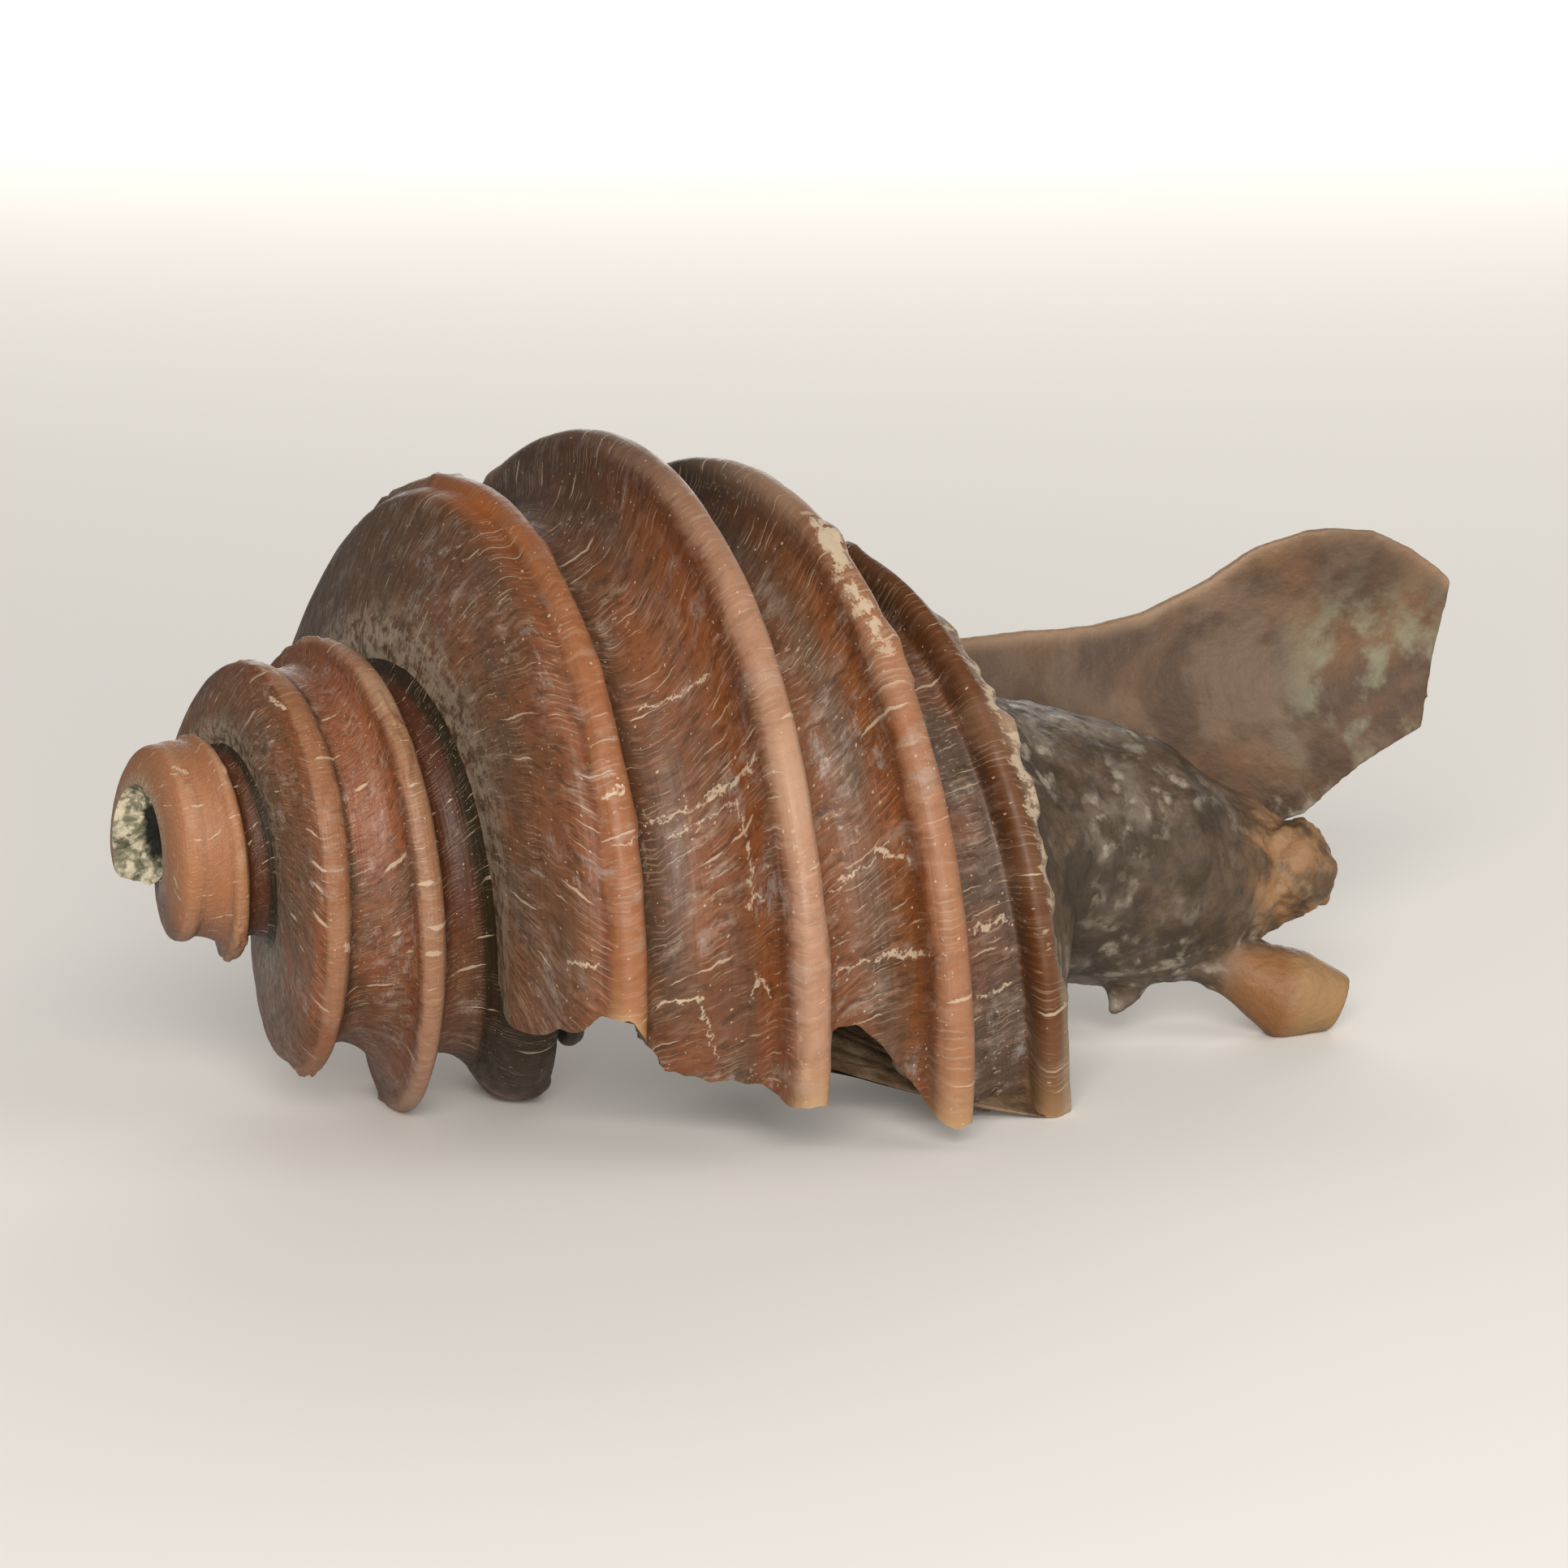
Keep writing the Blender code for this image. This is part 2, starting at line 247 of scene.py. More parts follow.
def add_piece(name, places, faces, marks):
    """A mesh object from a grid or list of places, the faces between them and named marks."""
    places = places.reshape(-1, 3)
    used, index = np.unique(faces, return_inverse=True)
    faces = index.reshape(faces.shape)
    data = bpy.data.meshes.new(name)
    data.from_pydata(laid_down(places[used]).tolist(), [], faces.tolist())
    for mark, values in marks.items():
        data.attributes.new(mark, "FLOAT", "POINT").data.foreach_set("value", values.ravel()[used])
    data.shade_smooth()
    piece = bpy.data.objects.new(name, data)
    bpy.context.scene.collection.objects.link(piece)
    return piece


def grid_faces(rows, columns, closed=False):
    """The quads of a grid, as indices. A closed grid also joins its last column to its first."""
    row = np.arange(rows - 1)[:, None]
    column = np.arange(columns if closed else columns - 1)[None, :]
    following = (column + 1) % columns
    corners = [row * columns + column, row * columns + following]
    corners += [(row + 1) * columns + following, (row + 1) * columns + column]
    return np.stack(np.broadcast_arrays(*corners), -1).reshape(-1, 4)


# %% [markdown]
# ## The skin of the coil
# Growth goes round in steps of a little over one degree. Each row starts on the seam, where the new
# turn sits on the one before it, so its first points are pulled onto that turn.

# %% Places on the coil
ROWS_PER_TURN = 252
ROWS = SOLID_STEPS * ROWS_PER_TURN // SOLID_STEPS_PER_TURN
BODY_ROWS = 405  # the rows of the last turns; the spire has the others
RIM_FLARE = 0.55  # mm that the edge of rib four leans over, on the near side
RIM_ALONG = 36.75  # where that edge is, at turn 0
NECK_START = (49.0, 6.5)  # along and radius, where the neck leaves the coil
NECK_COLUMNS = 24


def bell(values, centre, width, power=2):
    """1 at the centre, falling to 0 about two widths away."""
    return np.exp(-np.abs((values - centre) / width) ** power)


def outline_at(turns, axis):
    """One coordinate of the outline at these turns: the remnant, the older turns and the first one."""
    remnant = rise(turns, REMNANT_END, -0.15) * (turns >= LIP_TURN - 1 - 1e-6)
    old, barrel = rise(turns, -0.55, -0.2), rise(turns, -1.55, -0.16)
    changes = [(remnant, WIDENED), (old * (1 - barrel), OLD), (barrel, BARREL)]
    return OUTLINE[:, axis] + sum(share * (other - OUTLINE)[:, axis] for share, other in changes)


def coil_grid(first_row, last_row):
    """Turns and places of the skin between two rows, without relief."""
    turns = LIP_TURN - (ROWS - np.arange(first_row, last_row + 1)[:, None]) / ROWS_PER_TURN
    along, out = outline_at(turns, 0), outline_at(turns, 1)
    real_turns = drawn_back(turns, along)
    along = along + RIM_FLARE * bell(turns, 0.19, 0.085) * bell(OUTLINE[:, 0], RIM_ALONG, 0.7, 4)
    places = on_coil(real_turns, along, out)
    pull = on_coil(turns - 1, *SEAT) - on_coil(turns, *SEAM)
    pull *= np.clip((turns[..., None] - FIRST_TURN - 1) * 40, 0, 1)
    places += pull * np.exp(-((across / 1.6) ** 2))[None, :, None]
    return turns, real_turns, places


def neck_columns(turns, edge):
    """More columns, from the base in to the neck, and a little way under the foot's surface."""
    shares = np.linspace(0, 1, NECK_COLUMNS + 1)[1:]
    neck = polar(*NECK_START, turns)
    straight = edge[:, None] + (neck - edge[:, None]) * shares[None, :, None]
    tucked = [polar(NECK_START[0] + 0.5 * k, NECK_START[1] - 0.22 * k * k, turns) for k in (1, 2)]
    return np.concatenate([straight] + tucked, axis=1)


body_turns, body_real, body_places = coil_grid(ROWS - BODY_ROWS, ROWS)
spire_turns, spire_real, spire_places = coil_grid(0, ROWS - BODY_ROWS)
print("rows in the spire and the last turns:", spire_places.shape, body_places.shape)

# %% [markdown]
# ## Relief
# On the real shell the rib crests are chipped and uneven, the hollows have faint cords that run with
# the growth, and the wall is slightly lumpy where it grew in stops and starts. Moving each point along
# the surface's own direction carves all of this without breaking the coil's shape.

# %% Surface direction
def directions(places):
    """The outward direction at each point of a grid."""
    down, over = np.gradient(places, axis=0), np.gradient(places, axis=1)
    normal = np.cross(over, down)
    return normal / np.maximum(np.linalg.norm(normal, axis=-1, keepdims=True), 1e-9)


# %% Masks across one turn, and the slant of the lines of growth
COLUMN_ALONG = OUTLINE[:, 0]
CREST = sum(bell(COLUMN_ALONG, x + 0.05, 0.85, 6) for x, _ in RIBS)
GROOVE_ALONG = RIBS[3][0] - 0.2
# Where painted shade darkens the groove on the tip side of rib four
GROOVE = bell(COLUMN_ALONG, GROOVE_ALONG, 0.42)
# How far, in turns, shell of one age lies ahead at each distance along
SLANT_POINTS = [
    (15.4, 0.0), (16.4, -0.014), (17.6, -0.022), (19.1, -0.018), (20.5, -0.015), (22.0, -0.006),
    (23.3, 0.008), (23.9, 0.018), (25.4, 0.022), (26.5, 0.025), (28.0, 0.034), (29.5, 0.048),
    (30.1, 0.054), (31.4, 0.056), (32.5, 0.057), (34.0, 0.061), (35.1, 0.066), (37.5, 0.068),
]
SLANT = np.interp(COLUMN_ALONG, *np.array(SLANT_POINTS).T)
print("columns on the crests:", int((CREST > 0.5).sum()), "of", len(CREST))


# %% Chips, cords, the groove and the flaring rim
def unrolled(along_turn, across_turn):
    """Places for noise on the unrolled skin."""
    return np.stack(np.broadcast_arrays(along_turn, across_turn, 0.0), -1)


def relief(turns, places):
    """How far each point of the skin stands out, in mm."""
    size = RADIUS_GROWTH**turns
    growth = turns + SLANT
    wrinkles = rough(unrolled(growth * 60, COLUMN_ALONG * 0.3), 1.0, 2, seed=5)
    cords = noise(unrolled(growth * 9, across * 1.35), 1.0, seed=20)
    chip_places = unrolled(growth * 30, COLUMN_ALONG * 0.7)
    chips = np.clip(rough(chip_places, 1.0, 3, seed=30) - 0.56, 0, 0.5)
    lumps = rough(places, 6.0, 2, seed=40)
    raised = size * (0.025 * wrinkles + 0.022 * cords * (1 - CREST) + 0.07 * lumps)
    raised = raised - CREST * (0.5 * chips * size**0.6)
    rim = bell(turns, 0.20, 0.10, 4) * bell(COLUMN_ALONG, RIBS[3][0] + 0.7, 0.4, 4)
    raised = raised + rim * (0.25 + 0.45 * rough(chip_places * 2.2, 1.0, 2, seed=50))
    carved = 0.6 * bell(COLUMN_ALONG, GROOVE_ALONG, 0.36)
    raised = raised - rise(turns, -0.05, 0.15) * carved * size
    return np.clip(raised, -0.8, 0.12 + 0.5 * rim) * rise(across, 0, 1.2)


# %% [markdown]
# The finish has to follow the coil, so each point carries its turn, its distance across, its age, and
# how far it is on a crest, in a groove, in chalk, at a snapped tip or in the froth of the base. These
# numbers could be masks painted by hand, but worked out here they fit the shape exactly.

# %% Numbers for the finish
BASE_START = across[np.argmax(COLUMN_ALONG > BASE[0][0])] - 0.3
# Patches of chalk, each as (turn, its reach, distance along, its reach)
CHALK = [(0.150, 0.036, 30.5, 0.6), (0.115, 0.016, 30.8, 0.5), (0.200, 0.100, 36.5, 0.78)]


def chalky(turns, along):
    """Where the surface has turned to chalk."""
    return sum(bell(turns, t, dt, 4) * bell(along, x, dx, 4) for t, dt, x, dx in CHALK)


def skin_marks(turns, real_turns, columns):
    """The numbers that the finish reads, for each point of the skin and of the neck's columns."""
    flat = np.zeros((len(turns), columns))
    spare = columns - len(across)
    slant, crest, groove, station = (
        np.pad(row, (0, spare), mode="edge") + flat for row in (SLANT, CREST, GROOVE, COLUMN_ALONG)
    )
    turn = np.pad(real_turns, ((0, 0), (0, spare)), mode="edge")
    step = np.concatenate([across, across[-1] + 0.5 * np.arange(1, spare + 1)]) + flat
    on_coil_only = np.arange(columns) < len(across)
    return {
        "growth": turn + slant,
        "turn": turn,
        "across": step,
        "crest": crest * on_coil_only,
        # The groove mark only darkens the colour, as painted shade.
        "groove": groove * on_coil_only,
        "station": station,
        "chalk": chalky(turn, station),
        # A painted glow: light seen through the thin flank of rib one.
        "glow": 0.7 * bell(turn, 0.06, 0.045) * bell(station, 17.5, 0.6, 4),
        "snapped": crest * np.exp(np.minimum(0, turns - LIP_TURN) / 0.012),
        "base": rise(step, BASE_START, 2.0),
    }


# %% Add the spire and the last turns
def with_relief(turns, places):
    return places + directions(places) * relief(turns, places)[..., None]


spire_skin = with_relief(spire_turns, spire_places)
body_skin = with_relief(body_turns, body_places)
neck_part = neck_columns(body_turns, body_skin[:, -1])
froth = rough(neck_part, 1.6, 3, seed=60)[..., None]
froth *= np.linspace(0, 1, neck_part.shape[1])[None, :, None]
neck_part = neck_part + directions(neck_part) * 0.16 * froth
body_skin = np.concatenate([body_skin, neck_part], axis=1)

# %% [markdown]
# The next turn covers the lower part of each turn, so the faces there would never be seen. They are
# left out, all but a few columns past the seam.

# %% Leave out what the next turn covers
SEEN_COLUMNS = SEAT_COLUMN + 9
columns = body_skin.shape[1]
faces = grid_faces(len(body_skin), columns)
row, column = faces[:, 0] // columns, faces[:, 0] % columns
body_faces = faces[(row >= BODY_ROWS - ROWS_PER_TURN) | (column < SEEN_COLUMNS - 1)]
body = add_piece("last_turns", body_skin, body_faces, skin_marks(body_turns, body_real, columns))
spire_marks = skin_marks(spire_turns, spire_real, len(across))
spire_marks = {name: values[:, :SEEN_COLUMNS] for name, values in spire_marks.items()}
spire_faces = grid_faces(len(spire_skin), SEEN_COLUMNS)
spire = add_piece("spire", spire_skin[:, :SEEN_COLUMNS], spire_faces, spire_marks)
print("triangles:", 2 * len(body_faces), "in the last turns,", 2 * len(spire_faces), "in the spire")

# %% [markdown]
# ## The hollow inside
# Turned over, the shell shows the space the snail lived in. The solid has it as a smooth tube between
# the outer wall and the pillar. Here the same outlines are followed with finer steps, further and
# further in, and the last ring closes in the dark.

# %% Add the hollow
HOLLOW_OUTER = [
    (16.6, 9.7), (17.4, 12.0), (18.6, 13.5), (20.6, 12.9), (23.0, 14.2), (25.0, 14.3), (27.6, 13.6),
    (30.0, 14.2), (32.2, 12.5), (34.8, 11.7), (35.7, 10.2),
]
HOLLOW_INNER = [(35.2, 8.2), (31.5, 6.3), (25.5, 6.3), (20.6, 6.9), (18.3, 7.9), (17.0, 8.8)]
HOLLOW_MIDDLE = (26.0, 10.0)
HOLLOW_DEPTH = 26 / SOLID_STEPS_PER_TURN  # in turns
HOLLOW_ROWS, HOLLOW_COLUMNS = 90, 160


def closed_curve(points, count):
    """An evenly spaced smooth curve round a closed loop."""
    loop = np.array(points[-3:] + points + points[:3])
    knots = lengths_along(loop)
    return curve_through(loop, knots, np.linspace(knots[3], knots[-3], count, endpoint=False))


hollow_along, hollow_out = closed_curve(HOLLOW_OUTER + HOLLOW_INNER, HOLLOW_COLUMNS).T
hollow_turns = LIP_TURN - np.linspace(0, HOLLOW_DEPTH + 0.02, HOLLOW_ROWS)[:, None]
back = hollow_turns - drawn_back(hollow_turns, hollow_along)
hollow_real = hollow_turns - back * rise(hollow_out, 8.7, 1.5)
hollow_places = on_coil(hollow_real, hollow_along, hollow_out)
closing = np.linspace(1, 0, 10)[1:, None, None] ** 0.6
last_ring = hollow_places[-1]
hollow_end = on_coil(hollow_turns[-1] - 0.02, *HOLLOW_MIDDLE) + (last_ring - last_ring.mean(0)) * closing
hollow_places = np.concatenate([hollow_places, hollow_end])
hollow_places += directions(hollow_places) * 0.12 * rough(hollow_places, 3.0, 3, seed=70)[..., None]
depth = np.linspace(0, 1, len(hollow_places))[:, None] + np.zeros(HOLLOW_COLUMNS)
hollow_faces = grid_faces(*hollow_places.shape[:2], closed=True)
hollow = add_piece("hollow", hollow_places, hollow_faces[:, ::-1], {"depth": depth})
print("hollow rings:", hollow_places.shape)

# %% [markdown]
# ## The broken edge of the lip
# Between the outer skin and the hollow lies the thickness of the wall, seen where it snapped. The two
# edges have different numbers of points, so they are laced together: from each pair, the lace
# steps along whichever side makes the shorter thread. Points along each thread make the rough face.

# %% Add the broken edge
EDGE_POINTS = 7


def lace(outer, inner):
    """Pairs of indices that walk along two closed loops together."""
    pairs, i, j = [(0, 0)], 0, 0
    while i < len(outer) or j < len(inner):
        on_outer = np.linalg.norm(outer[(i + 1) % len(outer)] - inner[j % len(inner)])
        on_inner = np.linalg.norm(outer[i % len(outer)] - inner[(j + 1) % len(inner)])
        if j == len(inner) or (on_outer <= on_inner and i < len(outer)):
            i += 1
        else:
            j += 1
        pairs.append((i % len(outer), j % len(inner)))
    return np.array(pairs)


first_full = body_skin[BODY_ROWS - ROWS_PER_TURN]
neck_edge = len(across) + NECK_COLUMNS
outer_loop = np.concatenate([body_skin[-1, :neck_edge], first_full[neck_edge - 1 : SEAT_COLUMN : -1]])
inner_loop = hollow_places[0]
start = int(np.argmin(np.linalg.norm(inner_loop - outer_loop[0], axis=1)))
inner_loop = np.roll(inner_loop, -start, axis=0)
pairs = lace(outer_loop, inner_loop)
share = np.linspace(0, 1, EDGE_POINTS)[None, :, None]
edge_places = outer_loop[pairs[:, 0]][:, None] * (1 - share) + inner_loop[pairs[:, 1]][:, None] * share
uneven = rough(edge_places, 0.9, 3, seed=80)[..., None] * np.sin(np.pi * share) * 0.3
edge_places = edge_places + directions(edge_places) * uneven
from_outside = np.broadcast_to(share[..., 0], edge_places.shape[:2])
edge_faces = grid_faces(*edge_places.shape[:2])
on_pillar = np.broadcast_to(pairs[:, :1] >= neck_edge, edge_places.shape[:2]).astype(float)
edge_marks = {"from_outside": from_outside, "on_pillar": on_pillar}
lip_edge = add_piece("lip_edge", edge_places, edge_faces, edge_marks)
print("threads across the broken edge:", len(pairs))

# %% [markdown]
# ## The broken tip
# The first turns are missing. What is left is a small cream cup with a torn rim and a hole at
# its bottom, half filled with grey-green mud. It is a funnel of rings from the torn rim inwards,
# closed at the bottom, where painted shade makes it near black as a deep hole would look.

# %% Add the pit at the tip
PIT_BOTTOM = np.array([5.6, 0.0, 0.0])
PIT_RINGS = 16
seam_edge = spire_skin[ROWS_PER_TURN::-1, 0]
tip_loop = np.concatenate([seam_edge, spire_skin[0, 1:SEAT_COLUMN]])
sink = np.linspace(0, 1, PIT_RINGS)[:, None, None]
pit_places = tip_loop * (1 - sink) + PIT_BOTTOM * sink
pit_places[..., 0] += 0.5 * np.sin(np.pi * sink[..., 0] ** 0.6)
lumpiness = 0.34 * np.sin(np.pi * sink**0.7) * np.array([1.0, 0.4, 0.4])
pit_places += rough(pit_places, 0.9, 4, seed=90)[..., None] * lumpiness
pit_depth = np.broadcast_to(sink[..., 0], pit_places.shape[:2])
pit_faces = grid_faces(*pit_places.shape[:2], closed=True)
tip_pit = add_piece("tip_pit", pit_places, pit_faces, {"depth": pit_depth})
print("pit rings:", pit_places.shape)

# %% [markdown]
# ## The foot
# Below the coil stands what is left of the canal: a crumbly neck, one long curved wall, a snapped
# stump and a splinter. They have grown into each other, so they are modelled as overlapping lofts,
# turned into one skin by filling space with small cubes and keeping its surface, and then roughened.

# %% Values of the foot in mm, most of them as in the solid
# Rings as (along, radius, height of the centre, flare where the coil's base is steep)
NECK = [
    (45.5, 6.05, 0.2, 3.5), (46.8, 6.45, 0.2, 2.2), (47.9, 6.5, 0.2, 1.5), (48.8, 6.5, 0.2, 0.95),
    (49.8, 6.48, 0.2, 0.6), (51.0, 6.42, 0.15, 0.3), (52.0, 6.4, 0.1, 0.1), (55.0, 6.0, -0.2, 0),
    (57.7, 4.9, -0.9, 0), (60.1, 3.5, -0.6, 0), (61.4, 2.8, -0.4, 0), (62.3, 1.7, -0.3, 0),
]
# Stations as (along, top, bottom)
CANAL_WALL = [
    (33.0, 9.4, 1.0), (42.0, 9.7, 0.6), (48.7, 10.4, 0.6), (54.6, 11.2, 0.6), (57.1, 11.9, 0.8),
    (60.2, 13.6, 1.1), (62.3, 15.3, 1.5), (65.0, 16.3, 2.4), (68.2, 16.4, 4.6), (70.8, 15.5, 6.1),
    (72.2, 14.8, 6.8), (73.1, 14.2, 12.6),
]
CANAL_DEPTH, CANAL_CENTRE, CANAL_BOW = 6.9, 9.5, 0.055
CANAL_THICKNESS = 1.2
# Lumps as rings of (along, near, height, radius)
STUMP = [(56.0, 1.0, -3.8, 1.4), (59.0, 2.0, -5.2, 1.5), (61.6, 2.4, -6.4, 2.3), (64.2, 2.6, -6.7, 1.4)]
SPLINTER = [(54.2, 0.0, -5.0, 1.5), (54.0, 0.0, -6.6, 0.9), (53.4, 0.0, -7.7, 0.3)]
LUMP = [(60.8, 1.7, 1.6, 1.6), (61.4, 1.8, 0.4, 2.1), (61.9, 1.8, -1.0, 2.2), (62.2, 1.6, -2.4, 1.5)]
LUMP_CENTRE = np.array([60.9, -1.7, -0.1])


# %% Closed lofts from rings
def loft(rings):
    """A closed surface through rings of equally many points, as places and triangles."""
    rows, sides = rings.shape[:2]
    faces = grid_faces(rows, sides, closed=True)
    triangles = [faces[:, [0, 1, 2]], faces[:, [0, 2, 3]]]
    ends = np.stack([rings[0].mean(0), rings[-1].mean(0)])
    first = np.arange(sides)
    last = first + (rows - 1) * sides
    triangles += [np.stack([np.roll(first, -1), first, first * 0 + rows * sides], -1)]
    triangles += [np.stack([last, np.roll(last, -1), first * 0 + rows * sides + 1], -1)]
    return np.concatenate([rings.reshape(-1, 3), ends]), np.concatenate(triangles)


def lump_rings(rings, sides=20):
    """Rings square across the line of a lump, from (along, near, height, radius)."""
    values = np.array(rings, float)
    centres = values[:, :3] * (1, -1, 1)
    line = centres[-1] - centres[0]
    line /= np.linalg.norm(line)
    side = np.cross(line, (0, 1, 0))
    side /= np.linalg.norm(side)
    other = np.cross(line, side)
    angle = np.linspace(0, 2 * np.pi, sides, endpoint=False)[:, None]
    spokes = side * np.cos(angle) + other * np.sin(angle)
    return centres[:, None] + spokes[None] * values[:, 3, None, None]


def neck_rings(sides=60):
    """The neck as rings round the axis, each raised to its centre's height.

    The first rings flare where they meet the coil, more on the near side, where its base is steep.
    """
    along, radius, height, flare = np.array(NECK).T[:, :, None]
    angle = np.linspace(0, 1, sides, endpoint=False)[None, :]
    turn = np.where(angle < LIP_TURN, angle, angle - 1)
    drop = BASE[-1][1] * RADIUS_GROWTH**turn - NECK_START[1]
    run = NECK_START[0] - BASE[-1][0] * AXIAL_GROWTH**turn
    steepness = np.clip(drop / run, 0, 1.1) * rise(turn, LIP_TURN, -0.06)
    rings = polar(along, radius + flare * steepness, angle)
    rings[..., 2] += height
    return rings


def canal_rings(rows=24):
    """The canal's wall as loops: down its hollow face and back up behind."""
    stations = np.array(CANAL_WALL)
    dense = np.linspace(stations[0, 0], stations[-1, 0], 90)
    top, bottom = (np.interp(dense, stations[:, 0], stations[:, k]) for k in (1, 2))
    share = np.linspace(0, 1, rows)[None, :]
    height = top[:, None] + (bottom - top)[:, None] * share
    depth = CANAL_DEPTH - CANAL_BOW * (height - CANAL_CENTRE) ** 2
    half = CANAL_THICKNESS * (0.3 + 0.2 * np.minimum(1, 6 * share)) + 0 * height
    along = dense[:, None] + 0 * height
    front, rear = (np.stack([along, depth + sign * half, height], -1) for sign in (-1, 1))
    return np.concatenate([front, rear[:, ::-1]], axis=1)


# %% One skin over the lofts
CUBE = 0.17  # mm


def fused(parts, cube):
    """One closed skin over overlapping solids, with its points in mm."""
    data = bpy.data.meshes.new("lofts")
    offset, points, triangles = 0, [], []
    for places, faces in parts:
        points.append(places)
        triangles.append(faces + offset)
        offset += len(places)
    data.from_pydata(np.concatenate(points).tolist(), [], np.concatenate(triangles).tolist())
    holder = bpy.data.objects.new("lofts", data)
    bpy.context.scene.collection.objects.link(holder)
    mesh = bmesh.new()
    mesh.from_mesh(data)
    bmesh.ops.recalc_face_normals(mesh, faces=mesh.faces)
    mesh.to_mesh(data)
    mesh.free()
    remesh = holder.modifiers.new("skin", "REMESH")
    remesh.mode, remesh.voxel_size = "VOXEL", cube
    smooth = holder.modifiers.new("smooth", "SMOOTH")
    smooth.factor, smooth.iterations = 0.5, 16
    graph = bpy.context.evaluated_depsgraph_get()
    made = bpy.data.meshes.new_from_object(holder.evaluated_get(graph))
    bpy.data.objects.remove(holder)
    return made


foot_parts = [neck_rings(), canal_rings(), lump_rings(STUMP), lump_rings(SPLINTER, 12), lump_rings(LUMP)]
foot_mesh = fused([loft(rings) for rings in foot_parts], CUBE)
foot_places = np.empty(len(foot_mesh.vertices) * 3)
foot_mesh.vertices.foreach_get("co", foot_places)
foot_places = foot_places.reshape(-1, 3)
foot_normals = np.array([vertex.normal for vertex in foot_mesh.vertices])
foot_faces = np.array([face.vertices[:] for face in foot_mesh.polygons if len(face.vertices) == 4])
print("skin of the foot:", len(foot_faces), "quads of", len(foot_mesh.polygons))
bpy.data.meshes.remove(foot_mesh)

# %% [markdown]
# The neck's froth stands out in crumbs, and the canal's wall and the stump are nearly smooth. So each
# point is told how far it belongs to each of them, which sets its relief here and its colour later.

# %% Roughen the foot and add it
foot_along, foot_behind, foot_height = foot_places.T
wall_share = rise(foot_behind, 3.0, 2.0)
stump_share = rise(foot_height, -3.9, -0.8) * rise(foot_along, 57.5, 1.5)
crumbly = (1 - wall_share) * (1 - stump_share)
tan_lump = rise(np.linalg.norm(foot_places - LUMP_CENTRE, axis=1), 4.3, -1.6)
raised = crumbly * (0.15 + 0.12 * tan_lump) * rough(foot_places, 1.5, 4, seed=60)
raised += (1 - crumbly) * 0.05 * rough(foot_places, 2.2, 3, seed=100)
foot_places = foot_places + foot_normals * raised[:, None]
edge_top = np.interp(foot_along, *np.array(CANAL_WALL)[:, :2].T)
foot_marks = {
    "crumbly": crumbly,
    "stump": stump_share,
    "stump_face": stump_share * rise(foot_along, 60.5, 1.0),
    "canal_rim": bell(foot_height, edge_top, 0.6) * wall_share,
    "weathered": wall_share * bell(foot_along, 69.5, 4.5, 4) * bell(foot_height, 9.0, 4.5, 4),
    "tan_lump": tan_lump * crumbly,
    "shaded": wall_share * rise(foot_along, 60, -14),
}
foot = add_piece("foot", foot_places, foot_faces, foot_marks)

# %% [markdown]
# ## Finishes
# Shader sums read like ordinary sums when a socket is wrapped in a small class: writing
# `1 - mask` then adds a Math node. Colours are mixed with Mix nodes, because a Math node would turn
# them grey.


# %% A socket that can be calculated with
class Wire:
    def __init__(self, tree, socket=None):
        self.tree, self.socket = tree, socket

    def node(self, kind, settings=None, sockets=None, output=0):
        """Any node: its type, its settings, then the values or links of its sockets."""
        made = self.tree.nodes.new(kind)
        for name, value in (settings or {}).items():
            if name == "stops":
                self.set_stops(made.color_ramp, value)
            else:
                setattr(made, name, value)
        for name, value in (sockets or {}).items():
            if isinstance(value, Wire):
                self.tree.links.new(value.socket, made.inputs[name])
            else:
                made.inputs[name].default_value = value
        return Wire(self.tree, made.outputs[output])

    @staticmethod
    def set_stops(ramp, stops):
        while len(ramp.elements) < len(stops):
            ramp.elements.new(0.5)
        for element, (position, colour) in zip(ramp.elements, stops):
            element.position = position
            element.color = (*colour, 1)

    def maths(self, operation, first, second=0.0):
        return self.node("ShaderNodeMath", {"operation": operation}, {0: first, 1: second})

    def most(self, first, *others):
        """The greatest of several numbers at each place."""
        for other in others:
            first = self.maths("MAXIMUM", first, other)
        return first

    def __add__(self, other):
        return self.maths("ADD", self, other)

    def __sub__(self, other):
        return self.maths("SUBTRACT", self, other)

    def __rsub__(self, other):
        return self.maths("SUBTRACT", other, self)

    def __mul__(self, other):
        return self.maths("MULTIPLY", self, other)

    __radd__, __rmul__ = __add__, __mul__

    def mark(self, name):
        """A named number that travels with the mesh."""
        return self.node("ShaderNodeAttribute", {"attribute_name": name}, output="Fac")

    def vector(self, x, y, z=0.0):
        return self.node("ShaderNodeCombineXYZ", sockets={0: x, 1: y, 2: z})

    def clouds(self, vector, scale=1.0, detail=2.0, roughness=0.5, distortion=0.0):
        values = {"Vector": vector, "Scale": scale, "Detail": detail, "Roughness": roughness}
        values["Distortion"] = distortion
        return self.node("ShaderNodeTexNoise", sockets=values, output="Fac")

    def ramp(self, value, low, high):
        """0 below low, 1 above high, smooth between."""
        values = {"Value": value, "From Min": low, "From Max": high}
        return self.node("ShaderNodeMapRange", {"interpolation_type": "SMOOTHSTEP"}, values)

    def blend(self, share, first, second):
        """A colour mixed from two."""
        made = self.node("ShaderNodeMix", {"data_type": "RGBA"}, output=2)
        node = made.socket.node
        for index, value in ((0, share), (6, first), (7, second)):
            if isinstance(value, Wire):
                self.tree.links.new(value.socket, node.inputs[index])
            else:
                node.inputs[index].default_value = value if index == 0 else (*value, 1)
        return made


